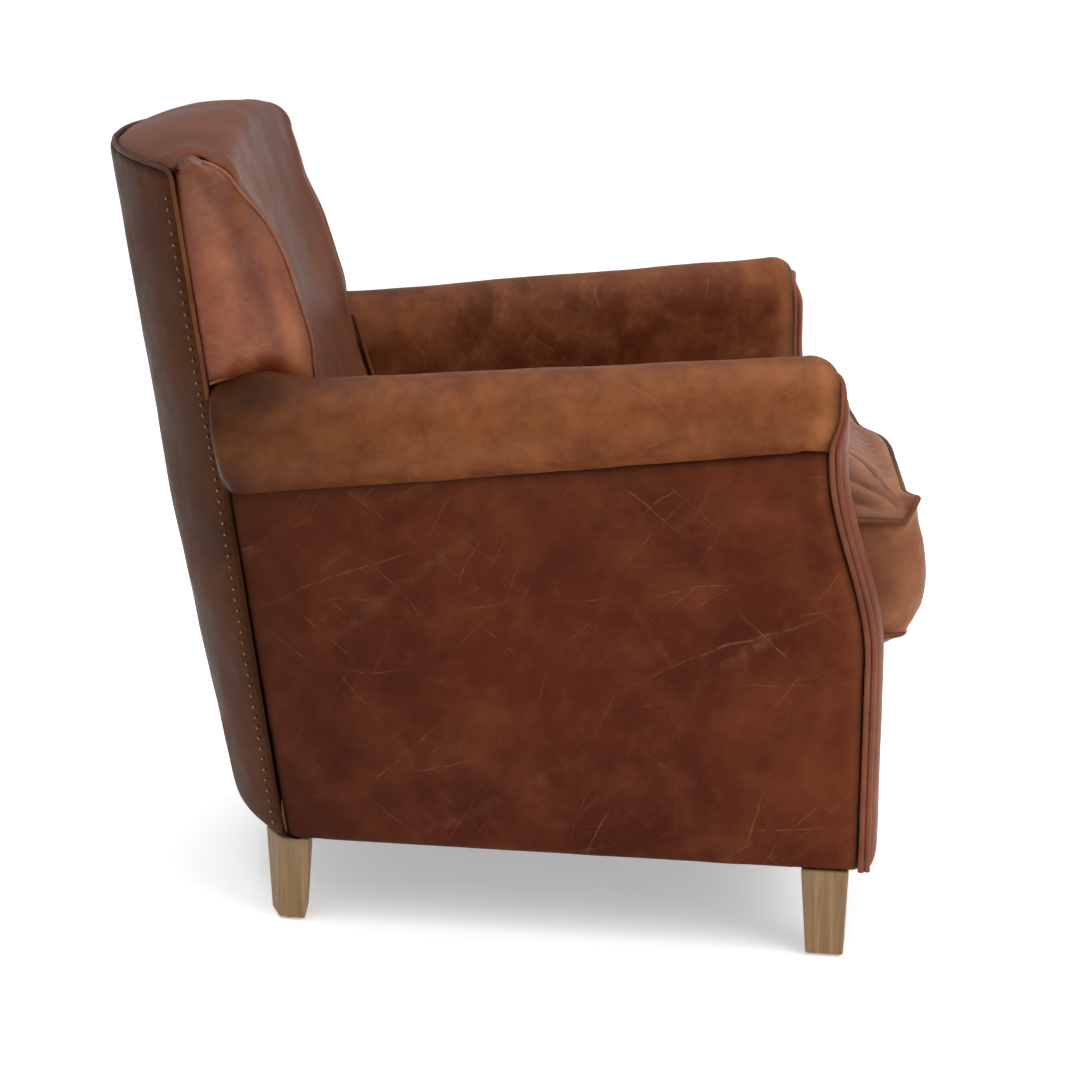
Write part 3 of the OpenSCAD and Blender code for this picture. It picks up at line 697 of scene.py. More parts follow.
def facing(side, word):
    """The arm's front: two welts round its edge, and a panel inside them, puffed a little."""
    for number, (inset, ahead, r) in enumerate(((0.4, 2.6, 3.3), (1.6, 8.8, 3.1))):
        path = []
        for x, z, a in scroll(inset + r * 0.3):
            forth = ahead * (1 - 0.75 * ease(-50, 60, a) * ease(190, 120, a))
            path.append(from_arm((x, seam_y(z, a) - forth, z), side))
        tube(f"facing_welt_{number + 1}_{word}", smooth_path(resample(path, 6), 2), r, M["facing"],
             nodes=(f"facing_piping_{word}",), seed=30 + number + side, wear=0.25, shade=0.12)
    outline = scroll(5.5, turns=40)
    top = max(range(len(outline)), key=lambda i: outline[i][1])
    z_top, z_low, z_roll = outline[top][1], 99.0, roll(FACING_Y)[1]
    levels = [z_low + 1.5, z_low + 5, z_low + 10]
    levels += steps(z_low + 18, z_top - 30, 48)
    levels += [z_top - 30 * cos(radians(90 * i / 12)) ** 2 for i in range(1, 13)]
    levels = [clamp(z, z_low + 1, z_top - 0.02) for z in levels]
    ends = [(crossing(outline[:top + 1], z), crossing(outline[top:][::-1], z)) for z in levels]
    shares = [0, 0.02, 0.06, 0.13, 0.24, 0.38, 0.5, 0.62, 0.76, 0.87, 0.94, 0.98, 1]

    def at(i, j):
        z, u, (a, b) = levels[i], shares[j], ends[i]
        edge = min(min(u, 1 - u) * abs(a - b), (z_top - z) * 1.2 + 0.4, (z - z_low) + 1)
        y = front_edge(z) - 7.5 - 11.0 * (1 - fade(edge, 7)) + 8 * ease(z_roll - 5, z_top, z)
        # its shade value is painted shade along the panel's edge beside the welts
        return from_arm((mix(a, b, u), y, z), side), 0.7 * fade(edge, 2.2), 0.0

    front = Vector(from_arm((0, -1, 0), side)) - Vector(from_arm((0, 0, 0), side))
    leather_panel(f"facing_panel_{word}", (len(levels), len(shares)), at, front, M["facing"],
                  (f"arm_facing_{word}",), thick=1.8, seed=36 + side)


def roll_end(side, word):
    """Closes the roll behind, beyond the body's corner."""
    end_y = 52
    cx, cz, r = roll(end_y)
    low, high = tuck_z(end_y) + 3, cz + r - 3.5

    def at(i, j):
        z = mix(low, high, 0.5 - 0.5 * cos(pi * i / 24))
        edge_x = cx + sqrt(max(0.0, (r - 4) ** 2 - (z - cz) ** 2))
        x0 = corner_x(z) - 4
        x = mix(x0, max(x0 + 0.5, REAR_HALF + edge_x * COS - end_y * SIN), j / 12)
        out = (x - REAR_HALF + end_y * SIN) / COS
        d = max(0, min(r - 4 - hypot(out - cx, z - cz), x - x0 + 1))
        # its shade value is painted shade along the panel's edges
        return (side * x, corner_y(z) - 6.5 + 4.5 * (1 - fade(d, 7)), z), 0.75 * fade(d, 2.5), 0.0

    leather_panel(f"roll_end_panel_{word}", (25, 13), at, (0, 1, 0), M["arm"],
                  (f"roll_end_{word}",), seed=40 + side)


for side, word in SIDES:
    arm_cover(side, word)
    outside_arm(side, word)
    facing(side, word)
    roll_end(side, word)


# ---- apron under the cushion ----

def apron():
    """The panel under the cushion, turned under at its foot and back over the rail."""
    half = 271
    profile = [(-364, 97.0), (-371, 97.2), (-377, 98.6), (-380.5, 102), (-382, 108)]
    profile += [(-382 - 3.5 * arc(t), mix(112, 298, t)) for t in steps(0, 1, 22)]
    profile += [(-381, 302), (-377, 305), (-370, 306)]

    def at(i, j):
        (y, z), u = profile[i], j / 60 * 2 - 1
        # painted shade at its sides and where it turns over the rail
        deep = 0.8 * fade((1 - abs(u)) * half, 6) + 0.5 * fade(306 - z, 8)
        return (u * half, y + 3 * u * u + 0.8 * bumps(u * half * 0.02, 7, z * 0.02), z), deep, 0.0

    leather_panel("apron_panel", (len(profile), 61), at, (0, -1, 0), M["apron"],
                  ("front_apron",), seed=50)


apron()


# ---- back ----

def outside_back():
    """The bowed panel behind, turned under at its foot and gathered a little under its top edge."""
    n_up, n_across = 78, 96
    low = [(-20, 97), (-9, 97.3), (-3, 100), (-0.8, 104)]

    def at(i, j):
        u = j / n_across * 2 - 1
        u = copysign(abs(u) ** 0.85, u)
        top = rear_top_z(u * BACK_HALF) - 2.5
        push, z, t = climb(i, low, n_up, 110, top, (3.0, 1.2))
        half = corner_x(z) - 0.5
        x = u * half
        y = outside_y(x, z) + push
        side_gap, below = half - abs(x), top - z
        y += 3.2 * (1 - fade(side_gap, 10)) * min(1, t * 6) - 3.4 * fade(side_gap, 3.0)
        if push == 0:
            y += 2.2 * fade(below, 26) * bumps(x * 0.045, 3, z * 0.012)
        # the dimples that the nails pull
        if side_gap < 22 and 108 < z < 806:
            y -= 0.7 * bell(side_gap - 8.5, 4)
        # painted shade beside the corner welts, under the top welt and at the foot
        deep = 0.75 * fade(side_gap, 2.5) + 0.6 * fade(max(0, below), 3)
        deep += 0.25 * fade(max(0, z - 98), 12)
        return (x, y, z), deep, 0.25 * bell(below - 8, 6)

    leather_panel("outside_back_panel", (len(low) + n_up + 3, n_across + 1), at, (0, 1, 0),
                  M["outside_back"], ("outside_back",), seed=60,
                  wobble=(110.0, 1.3, 30.0, 0.25))


FRONT_ROUND, CORNER_RISE = 28.0, 2.0


def wrap_in(t):
    """How far the seam over the boxing's top lies inwards, at share t of the way from front to rear."""
    return 15 * arc(clamp(t)) ** 0.8


def wrap_z(x, t, u):
    """Height of the back's top at share t of the way from its front to its rear."""
    rise = CORNER_RISE * (1 - t) + 4 * arc(clamp(t)) ** 0.8 + 2 * t
    return mix(top_z(x), rear_top_z(x), t * t) + 2.5 * arc(t) + rise * u * u


def edge_line(z):
    """The depth of the inside back's side seam, round over its top front corner."""
    turn = BACK_TOP - FRONT_ROUND
    over = clamp((z - turn) / (FRONT_ROUND + CORNER_RISE))
    return face_y(min(z, turn)) + edge_back(1, z) + FRONT_ROUND * (1 - sqrt(1 - over * over))


def face_column(u):
    """A line up the inside back's face and over its top at share u of its half-width."""
    x_top = u * TOP_HALF
    zt = top_z(x_top)
    ze = zt - FRONT_ROUND
    out = []
    for z in steps(292, ze, 63):
        out.append((u * seam_x(z), face_y(z) + hollow(u * 190, z) + edge_back(u, z), z, (0, -1, 0.3)))
    y_e = face_y(ze) + hollow(u * 190, ze) + edge_back(u, ze)
    for a in range(9, 91, 9):
        z = ze + (FRONT_ROUND + CORNER_RISE * u * u) * sin(radians(a))
        c = cos(radians(a))
        out.append((u * seam_x(z), y_e + FRONT_ROUND * (1 - c), z, (0, -c, sin(radians(a)))))
    rear = outside_y(x_top, rear_top_z(x_top)) - 3.5
    for i in range(1, 21):
        t = i / 20
        drop = 2.2 * max(0, (t - 0.86) / 0.14) ** 2
        z = wrap_z(x_top, t, u) - drop
        out.append((x_top - u * wrap_in(t), mix(y_e + FRONT_ROUND, rear, t), z, (0, 0, 1)))
    return out


def inside_back():
    """The padded face of the back with its wrap over the top, in columns from side to side."""
    shares = [copysign(1 - (1 - abs(u)) ** 1.25, u) for u in steps(-1, 1, 72)]
    lines = [face_column(u) for u in shares]

    def at(i, j):
        u, (x, y, z, way) = shares[i], lines[i][j]
        gap = (1 - abs(u)) * seam_x(z)
        in_arms = ease(600, 560, z)
        sink = mix(3.0, 5.5, in_arms) * fade(gap, 5.0) - 2.0 * bell(gap - 20, 14)
        sink += 3 * fade(gap, 9) * in_arms
        fold = 0.0
        if way[2] < 0.9:
            fold = 1.6 * fbm((x, y, z * 0.45), 70, 2, 5.0) * ease(0, 40, gap)
            fold += 1.4 * fade(gap, 30) * bumps(u * 3, 2, z * 0.03) * in_arms
        push = -sink + fold
        # painted shade at the side seams, deeper between the arms, at the wrap's rear end and low down
        # by the seat
        deep = mix(0.3, 0.75, in_arms) * fade(gap, 2.2) + 0.55 * fade(gap, 10) * in_arms
        deep += 0.7 * fade(len(lines[i]) - 1 - j, 0.8) + 0.4 * ease(400, 310, z)
        return ((x + way[0] * push, y + way[1] * push, z + way[2] * push), deep,
                0.28 * bell(gap - 9, 8) * (1 - in_arms))

    def hint(c):
        return Vector((0, -1, 0.4)) if c.z < 0.8 else Vector((0, -0.2, 1))

    leather_panel("inside_back_panel", (len(lines), len(lines[0])), at, hint, M["back"],
                  ("inside_back", "back_foam"), seed=70, wobble=(120.0, 1.2, 30.0, 0.25))


def boxing_point(t, s):
    """t runs from the front seam to the rear corner, s from the arm up to the top."""
    x_low = mix(seam_x(ARM_TOP), corner_x(ARM_TOP), t)
    y_low = mix(edge_line(ARM_TOP), corner_y(ARM_TOP), t)
    low = roll_top_z(x_low) - 3 + hump(y_low)
    arch = arc(t) ** 0.7
    cap = wrap_z(TOP_HALF, t, 1) - 1.2 - 2.5 * ease(0.85, 1, t)
    high = cap + 4
    z = mix(low, high, s)
    front = Vector((seam_x(z) + 0.3, edge_line(z) + 3))
    rear = Vector((corner_x(z) - 1.5, corner_y(z) - 3.0))
    n = Vector((rear.y - front.y, front.x - rear.x)).normalized()
    wide = (rear - front).length
    p = front.lerp(rear, t)
    above, under = z - low, high - z
    full = ease(0, 0.12, s) * (1 - 0.5 * ease(0.72, 1, s))
    bulge = min(15.0, wide * 0.17) * arc(mix(0.02, 0.99, t) ** 0.85)
    bulge *= 0.45 + 0.55 * full
    bulge -= 2.5 * fade(t * wide, 4) + 4.0 * fade((1 - t) * wide, 4)
    bulge -= 3 * fade(above, 7) + (4 + 17 * arch) * fade(under, 6)
    return p, n, bulge, min(z, cap), wide, above, under


def boxing(side, word):
    """The panel at the side of the back, with the welts in front of it and at its foot."""
    def at(i, j):
        t, s = i / 40, j / 60
        t, s = mix(t, ease(0, 1, t), 0.4), mix(s, ease(0, 1, s), 0.4)
        p, n, bulge, z, wide, above, under = boxing_point(t, s)
        seam = min(t, 1 - t) * wide
        pucker = 1.7 * fade(above, 20) * bumps(t * 9, side * 3, z * 0.012)
        pucker += 1.6 * fade(under, 24) * bumps(t * 7, side * 5, z * 0.02)
        soft = 1.3 * fbm((p.x * side, p.y, z), 75, 2, 7.0)
        q = p + n * (bulge + (pucker + soft) * min(1, seam / 10))
        # painted shade at the seams, in a band across the middle and darker towards the top
        deep = 0.7 * fade(above, 3) + 0.62 * fade(abs(under - 4), 3.6)
        deep += (0.15 if t < 0.5 else 0.4) * fade(seam, 2.2)
        deep += 0.16 * bell(t - mix(0.36, 0.5, s), 0.1) + 0.13 * ease(0.35, 0.9, s)
        # painted highlight: paler bands at the lower front and towards the rear, passed on with the
        # wear
        light = 0.8 * bell(t - 0.2, 0.13) * ease(0.6, 0.2, s)
        light += 0.38 * bell(t - 0.7, 0.2) * ease(1.0, 0.8, s)
        return (side * q.x, q.y, z), deep, light * (0.8 + 0.5 * bumps(t * 5, side * 2, z * 0.014))

    leather_panel(f"boxing_panel_{word}", (41, 61), at, (side, -0.4, 0), M["boxing"],
                  (f"back_side_{word}",), seed=80 + side, wobble=(50.0, 0.4, 20.0, 0.2))
    seam = [(side * (seam_x(z) - 0.3), edge_line(z) + 2.6, z)
            for z in steps(roll_top_z(seam_x(ARM_TOP)) - 2, BACK_TOP + 2, 69)]
    tube(f"boxing_front_welt_{word}", smooth_path(seam, 3), 1.9, M["boxing"], seed=84 + side, wear=0.25)
    foot = []
    for i in range(41):
        p, n, *_ = boxing_point(i / 40, 0)
        x = p.x + n.x * 0.5
        foot.append((side * x, p.y + n.y * 0.5, roll_top_z(x) + 1.0 + hump(p.y)))
    tube(f"boxing_foot_welt_{word}", smooth_path(foot, 2), 1.8, M["piping"], seed=86 + side, wear=0.35)


def back_welts():
    """The welt round the outside back, and those in the corners below it and beside the seat."""
    up = [(BACK_HALF - 0.5, corner_y(z) - 0.5, z) for z in range(592, 829, 6)]
    over = [(x, outside_y(x, rear_top_z(x)) - 0.8, rear_top_z(x) + 0.3) for x in range(254, -255, -6)]
    path = resample(up + over + [(-x, y, z) for x, y, z in up[::-1]], 5)
    # painted shade on the welts: darker over the back's top, and in the corners below it
    tube("back_welt", smooth_path(path, 3), 2.3, M["piping"], nodes=("back_piping",), seed=90, wear=0.1,
         shade=lambda p: 0.25 + 0.35 * ease(815, 829, p[2]))
    for side, word in SIDES:
        low = [(side * (corner_x(z) + 0.2), corner_y(z) - 1.5, z) for z in range(102, 592, 6)]
        tube(f"corner_welt_{word}", resample(low, 6), 1.6, M["outside_back"], seed=92 + side, wear=0.0,
             shade=0.45)
        inner = []
        for z in steps(312, 596, 59):
            y = face_y(z) - 3.5
            inner.append((side * (arm_inner(y) - 2.6), y, z))
        tube(f"arm_inner_welt_{word}", inner, 2.6, M["piping"], seed=94 + side, wear=0.1, shade=0.1)


def turned(verts, faces, profile, at, sides, tip=None):
    """Adds a solid turned from (radius, height) rings: at(u, v, height) places its points."""
    first = len(verts)
    for r, h in profile:
        for k in range(sides):
            a = 2 * pi * k / sides
            verts.append(at(r * cos(a), r * sin(a), h))
    ends = [tuple(range(first, first + sides))[::-1]]
    rim = range(len(verts) - sides, len(verts))
    if tip is None:
        ends.append(tuple(rim))
    else:
        verts.append(at(0, 0, tip))
        ends += [(k, rim[(i + 1) % sides], len(verts) - 1) for i, k in enumerate(rim)]
    walls = grid([range(sides)] * len(profile), closed=True)[1]
    faces += [tuple(first + k for k in f) for f in walls] + ends


def nails():
    """Small domed nails down both edges of the outside back."""
    verts, faces, e = [], [], 0.5
    for side, _ in SIDES:
        for i in range(58):
            z = 115 + 12 * i
            x = corner_x(z) - 9 + 0.25 * bumps(i * 3.3, side, 0)
            slope = (outside_y(x + e, z) - outside_y(x - e, z)) / (2 * e)
            n = Vector((-slope * side, 1.0, -BACK_LEAN)).normalized()
            c = Vector((side * x, outside_y(x, z) + 2.3, z + 0.5 * bumps(i * 2.1, side, 5)))
            a = n.orthogonal().normalized()
            b = n.cross(a)
            turned(verts, faces, ((1.9, -0.4), (1.95, 0.3), (1.6, 0.95), (0.95, 1.35)),
                   lambda u, v, h: c + n * h + a * u + b * v, 12, 1.5)
    piece = new_object("back_nail_heads", verts, faces)
    finish_piece(piece, M["nail"], nodes=("back_nails",))


# ---- seat cushion ----

SEAM_INSET = 3.5                      # from the cushion's outline to the sewn edge


def cushion_rear(z):
    return face_y(z) - 9


def cushion_half(y):
    return arm_inner(y) - 4


def cushion_loop(z, out):
    """Points round the cushion's outline at height z, moved outwards by out."""
    r = 26 + out
    y0, y1 = CUSHION_FRONT + 26, cushion_rear(z) - 26
    corners = ((cushion_half(y0) - 26, y0, -82, 0), (cushion_half(y1) - 26, y1, 0, 90),
               (26 - cushion_half(y1), y1, 90, 180), (26 - cushion_half(y0), y0, 180, 262))
    path = [(0, y0 - 8 - r, z)]
    for cx, cy, a0, a1 in corners:
        for a in steps(radians(a0), radians(a1), 8):
            path.append((cx + r * cos(a), cy + r * sin(a), z))
    return path


def corner_pull(x, y):
    """1 at the cushion's front corners, falling away from them."""
    d = hypot(abs(x) - 248, y + 428)
    return exp(-(d / 46) ** 1.5)


def recede(x, y):
    """The loose cushion's front edge lies a little askew: it stands back on the chair's left."""
    return (14 * ease(-238, -195, x) + 18 * ease(30, 140, x)) * ease(-300, -410, y)


def seam_shift(x, y, z):
    """How the cushion's edge lifts along its front and sags at its sides, in millimetres of height."""
    near_top = exp(-(abs(z - TOP_SEAM) / 38) ** 1.6)
    front = ease(-416, -430, y)
    beside = (1 - front) * ease(-290, -360, y) * ease(200, 235, abs(x))
    lift = front * (9 * (1 - 0.6 * ease(20, 150, x)) + 5 * bell(abs(x) - 240, 14))
    near_bottom = exp(-(abs(z - BOTTOM_SEAM) / 30) ** 1.6)
    return near_top * (lift - 10 * beside) + 9 * near_bottom * ease(-330, -400, y)


def outline_gap(x, y, z):
    """Distance inwards from the cushion's outline, roughly."""
    ahead = y - CUSHION_FRONT + 8 * (1 - min(1, abs(x) / 240))
    return min(cushion_half(y) - abs(x), ahead, cushion_rear(z) - y)


def relax(piece, fixed, rounds):
    """Evens out the free points of a mesh, so that ripples as narrow as its faces disappear."""
    mesh = piece.data
    links = [[] for _ in mesh.vertices]
    for edge in mesh.edges:
        a, b = edge.vertices
        links[a].append(b)
        links[b].append(a)
    for _ in range(rounds):
        spots = [v.co.copy() for v in mesh.vertices]
        for i, near in enumerate(links):
            if i not in fixed:
                middle = sum((spots[k] for k in near), Vector()) / len(near)
                mesh.vertices[i].co = spots[i].lerp(middle, 0.5)


def inflate(piece, pinned, cap):
    """Pressurises a closed mesh as cloth: pinned points stay, and none moves beyond cap metres."""
    start = [v.co.copy() for v in piece.data.vertices]
    group = piece.vertex_groups.new(name="seams")
    group.add(pinned, 1.0, "REPLACE")
    cloth = piece.modifiers.new("cloth", "CLOTH")
    c = cloth.settings
    c.quality, c.mass = 6, 0.35
    c.tension_stiffness = c.compression_stiffness = 18
    c.shear_stiffness, c.bending_stiffness = 6, 1.2
    c.use_pressure, c.uniform_pressure_force = True, 4.0
    c.shrink_min = -0.025
    c.vertex_group_mass = "seams"
    c.effector_weights.gravity = 0
    cloth.collision_settings.use_collision = False
    cloth.point_cache.frame_start, cloth.point_cache.frame_end = 1, 20
    for f in range(1, 21):
        scene.frame_set(f)
    shaped = piece.evaluated_get(bpy.context.evaluated_depsgraph_get())
    moved = [v.co.copy() for v in shaped.data.vertices]
    piece.modifiers.remove(cloth)
    piece.vertex_groups.remove(group)
    scene.frame_set(1)
    for i, v in enumerate(piece.data.vertices):
        step = moved[i] - start[i]
        if step.length > cap:
            step *= cap / step.length
        v.co = start[i] + step
    relax(piece, set(pinned), 5)


def cushion():
    piece = new_object("seat_cushion_cover", [], [])
    piece.data = NODES["cushion_core"].data.copy()
    piece.data.remesh_voxel_size = 0.006
    bpy.context.view_layer.objects.active = piece
    piece.select_set(True)
    bpy.ops.object.voxel_remesh()
    piece.select_set(False)
    mesh = piece.data
    pinned = []
    for v in mesh.vertices:
        x, y, z = v.co * 1000
        near = min(abs(z - TOP_SEAM), abs(z - BOTTOM_SEAM))
        if near < 7 and outline_gap(x, y, z) < 14 or z < DECK_Z + 3.5:
            pinned.append(v.index)
    inflate(piece, pinned, 0.022)
    shade, wear = [], []
    for v in mesh.vertices:
        x, y, z = v.co * 1000
        top = ease(TOP_SEAM + 2, TOP_SEAM + 16, z)
        front = ease(-400, -425, y)
        # folds that run from each front corner over the top, with painted shade in their valleys and
        # painted highlight on their ridges
        valley = ridge = 0.0
        for side in (-1, 1):
            dx, dy = x - side * 252, y + 432
            reach = hypot(dx, dy)
            turn = atan2(dy, -side * dx)
            strong = bell(reach - 95, 120) * (0.4 if side > 0 else 1.0)
            wave = sin(turn * 8 + 1.8 * bumps(reach * 0.012, side * 2, turn * 1.5))
            strong *= top * ease(8, 45, reach)
            z += strong * 5.0 * (0.5 - 2.0 * (1 - abs(wave)) ** 3)
            valley += strong * (1 - abs(wave)) ** 1.4
            ridge += strong * abs(wave) ** 3
        z += top * 1.6 * fbm((x, y * 0.6, 0), 90, 3, 11.0)
        # wrinkles down the front boxing, and its soft bulge
        mid = arc(clamp((z - BOTTOM_SEAM) / (TOP_SEAM - BOTTOM_SEAM)))
        y -= front * mid ** 0.7 * (7.0 + 3.2 * bumps(x * 0.03, 1, z * 0.006)
                                   + 1.8 * bumps(x * 0.07, 4, z * 0.02))
        # the seams draw the cover in
        for level in (TOP_SEAM, BOTTOM_SEAM):
            gap = outline_gap(x, y, z)
            away_x = gap - outline_gap(x + 1, y, z)
            away_y = gap - outline_gap(x, y + 1, z)
            reach = (gap - SEAM_INSET) * exp(-(abs(z - level) / 7) ** 1.5) * ease(26, 12, gap)
            x += reach * away_x
            y += reach * away_y
        z += seam_shift(x, y, z)
        y += recede(x, y) + 9 * ease(352, 334, z) * ease(-300, -410, y)
        x = clamp(x, -arm_inner(y) + 2.2, arm_inner(y) - 2.2)
        y = min(y, face_y(z) - 8.2)
        z = max(z, DECK_Z + 0.8)
        v.co = (x / 1000, y / 1000, z / 1000)
        gap = outline_gap(x, y, z)
        at_seam = bell(abs(z - seam_shift(x, y, TOP_SEAM) - TOP_SEAM), 4.5)
        at_seam += bell(abs(z - BOTTOM_SEAM), 4.5)
        # painted shade at the seams, low down, over the top and in the fold valleys; wear at the top
        # seam and corners, and painted highlight on the fold ridges
        shade.append(clamp(0.8 * at_seam * ease(22, 6, gap) + 0.3 * ease(345, 312, z)
                           + 0.12 * top + 0.5 * valley))
        wear.append(clamp(0.3 * bell(z - TOP_SEAM - 12, 9) * ease(40, 10, gap)
                          + 0.25 * corner_pull(x, y) + 0.25 * ridge))
    set_marks(mesh, {"shade": shade, "wear": wear})
    mesh.update()
    modifier(piece, "SUBSURF", levels=1, render_levels=1)
    finish_piece(piece, M["cushion"], CUSHION, ("cushion_core", "cushion_cover"))

    levels = (("top", TOP_SEAM, 0), ("bottom", BOTTOM_SEAM, 9))
    for number, (word, level, stand_back) in enumerate(levels):
        path = [(x, y + recede(x, y) + stand_back * ease(-300, -410, y), z + seam_shift(x, y, z))
                for x, y, z in resample(cushion_loop(level, -2.2), 6, closed=True)]
        path = [(clamp(x, -arm_inner(y) + 5.2, arm_inner(y) - 5.2), y, z)
                for x, y, z in smooth_path(path, 2, closed=True)]
        # painted shade along the welts' front, over the chair's left half
        tube(f"cushion_welt_{word}", path, 3.1, M["piping"], body=CUSHION,
             nodes=(f"cushion_piping_{word}",), closed=True, seed=100 + number, wear=0.15,
             shade=lambda p: 0.12 + 0.5 * ease(-160, -40, p[0]) * ease(-380, -410, p[1]))


def block(verts, faces, centre, size, axes):
    """Adds a box to verts and faces: half its size along each of its axes."""
    first = len(verts)
    a, b, c = (Vector(axis) * half for axis, half in zip(axes, size))
    verts += [Vector(centre) + a * i + b * j + c * k for i in (-1, 1) for j in (-1, 1) for k in (-1, 1)]
    sides = ((0, 1, 3, 2), (4, 6, 7, 5), (0, 4, 5, 1), (2, 3, 7, 6), (0, 2, 6, 4), (1, 5, 7, 3))
    faces += [tuple(first + k for k in f) for f in sides]


def zip_fastener():
    """The zip across the cushion's rear: its tape, teeth and slider, leaning with the back."""
    mid_z = BOTTOM_SEAM + 71.5
    lean = atan(FACE_LEAN)
    across, up = Vector((1, 0, 0)), Vector((0, sin(lean), cos(lean)))
    out = up.cross(across)
    base = Vector((0, cushion_rear(mid_z) + 1.4, mid_z))
    half = ((13, 0.2), (9, 0.5), (4, 0.8), (1.6, 1.1))
    section = [(-h, lift) for h, lift in half] + [(0, 0.5)] + list(half[::-1])
    rows = []
    for x in steps(-177, 177, 88):
        rows.append([base + across * x + up * h + out * (lift + 0.15 * bumps(x * 0.05, h, 3))
                     for h, lift in section])
    tape = new_object("zip_tape_strips", *grid(rows))
    face_outwards(tape, tuple(out))
    modifier(tape, "SOLIDIFY", thickness=CLOTH, offset=-1.0)
    finish_piece(tape, M["tape"], CUSHION, ("zip_tape",))
    axes = (across, out, up)
    verts, faces = [], []
    for i in range(111):
        tilt = 0.7 if i % 2 else -0.7
        centre = base + across * (3.0 * i - 165) + up * tilt + out * 1.7
        block(verts, faces, centre, (0.75, 0.55, 1.9), axes)
    teeth = new_object("zip_teeth", verts, faces)
    modifier(teeth, "BEVEL", width=0.0003, segments=2)
    finish_piece(teeth, M["zip"], CUSHION)
    verts, faces = [], []
    for lift, drop, size in ((3.3, 0, (6, 1.3, 4)), (5.0, 0, (3, 0.8, 1.4)), (5.8, 1, (2.6, 0.6, 3)),
                             (5.8, 11, (5, 0.6, 8))):
        block(verts, faces, base - across * 161 + out * lift - up * drop, size, axes)
    slider = new_object("zip_slider_pull", verts, faces)
    modifier(slider, "BEVEL", width=0.0005, segments=3)
    finish_piece(slider, M["zip"], ZIP, ("zip_slider",))


# ---- deck, underside and legs ----

def deck():
    """The cloth that the cushion lies on, with a seam across it near its front."""
    def at(i, j):
        y, u = mix(DECK_FRONT, DECK_REAR, i / 60), j / 56 * 2 - 1
        x = u * (arm_inner(y) - 2.2)
        edge = max(0, min((1 - abs(u)) * 200, y - DECK_FRONT, DECK_REAR - y))
        z = DECK_Z - 0.5 - 9 * fade(edge, 7) - 2.6 * bell(y - DECK_SEAM, 3.2)
        z -= 0.5 * abs(fbm((x, y, 0), 60, 2, 3))
        # its shade value is painted shade at the edges and along the seam
        return (x, y, min(z, DECK_Z - 0.4)), 0.4 * fade(edge, 8) + 0.5 * bell(y - DECK_SEAM, 1.8), 0.0

    leather_panel("deck_cloth_panel", (61, 57), at, (0, 0, 1), M["deck"], ("seat_deck",),
                  wobble=(60.0, 0.0, 20.0, 0.0))


def rail_x(y):
    """Half the width of the frame at its foot."""
    return REAR_HALF + (REAR_Y - y) * 0.137


def dust_cover():
    """Black cloth stretched under the frame, cut round the legs, with stapled edges."""
    rows = []
    even = {round(y) for y in steps(UNDER_FRONT, UNDER_REAR, 30)}
    for y in sorted({UNDER_FRONT, -302, -300, 218, 280} | even):
        rows.append([])
        for u in steps(-1, 1, 24):
            x, yy = u * min(318, rail_x(y) - 7), y
            if y > 200:
                yy = mix(200, outside_y(x, BODY_Z) - 7, (y - 200) / (UNDER_REAR - 200))
            sag = 1.3 * (1 - u * u) * arc(clamp((y - UNDER_FRONT) / (UNDER_REAR - UNDER_FRONT)))
            rows[-1].append((x, yy, 98.2 - sag - 0.3 * abs(bumps(x * 0.02, yy * 0.02, 0))))
    verts, faces = grid(rows)
    kept = []
    for f in faces:
        c = sum((Vector(verts[k]) for k in f), Vector()) / 4
        at_legs = ((301, -335, 35), (219, 249, 34))
        if not any(abs(abs(c.x) - x) < reach and abs(c.y - y) < 34 for x, y, reach in at_legs):
            kept.append(f)
    used = sorted({k for f in kept for k in f})
    place = {k: i for i, k in enumerate(used)}
    piece = new_object("dust_cover_cloth", [verts[k] for k in used],
                       [tuple(place[k] for k in f) for f in kept])
    face_outwards(piece, (0, 0, -1))
    modifier(piece, "SOLIDIFY", thickness=CLOTH, offset=-1.0)
    finish_piece(piece, M["cambric"], nodes=("dust_cover",))
    verts, faces = [], []
    for t in steps(0, 1, 14):
        x, x_rear, y = mix(-235, 235, t), mix(-150, 150, t), mix(-280, 190, t)
        for at, size, skew in (((x, -349), (5, 0.6, 0.35), (0.2, 0)),
                               ((x_rear, outside_y(x_rear, BODY_Z) - 14), (5, 0.6, 0.35), (0.1, 0)),
                               ((14 - rail_x(y), y), (0.6, 5, 0.35), (0, 0.1)),
                               ((rail_x(y) - 14, y), (0.6, 5, 0.35), (0, 0.1))):
            block(verts, faces, (*at, 96.9), size, ((1, skew[0], 0), (skew[1], 1, 0), (0, 0, 1)))
    staples = new_object("dust_cover_staples", verts, faces)
    modifier(staples, "BEVEL", width=0.0002, segments=2)
    finish_piece(staples, M["steel"])


def leg(name, head, foot, side, node):
    """A tapered leg of four corners with eased edges."""
    low, high = 2.5, 97.6
    rows = []
    for z in (low, 6, 20, 40, 60, 80, 93, high):
        t = (z - low) / (high - low)
        rows.append([(side * mix(a[0], b[0], t), mix(a[1], b[1], t), z) for a, b in zip(foot, head)])
    verts, faces = grid(rows, closed=True)
    n = len(verts)
    piece = new_object(name, verts, faces + [(3, 2, 1, 0), (n - 4, n - 3, n - 2, n - 1)])
    centre = sum((Vector(v) for v in verts), Vector()) / n / 1000
    face_outwards(piece, lambda c: c - centre)
    piece.data.polygons.foreach_set("use_smooth", [False] * len(piece.data.polygons))
    modifier(piece, "BEVEL", width=0.0024, segments=4, limit_method="ANGLE", angle_limit=0.6)
    finish_piece(piece, M["oak"], nodes=(node,))


def square(corner, size):
    return [(corner[0] + size * (cx * COS - cy * SIN), corner[1] + size * (cx * SIN + cy * COS))
            for cx, cy in ((0, 0), (-1, 0), (-1, 1), (0, 1))]


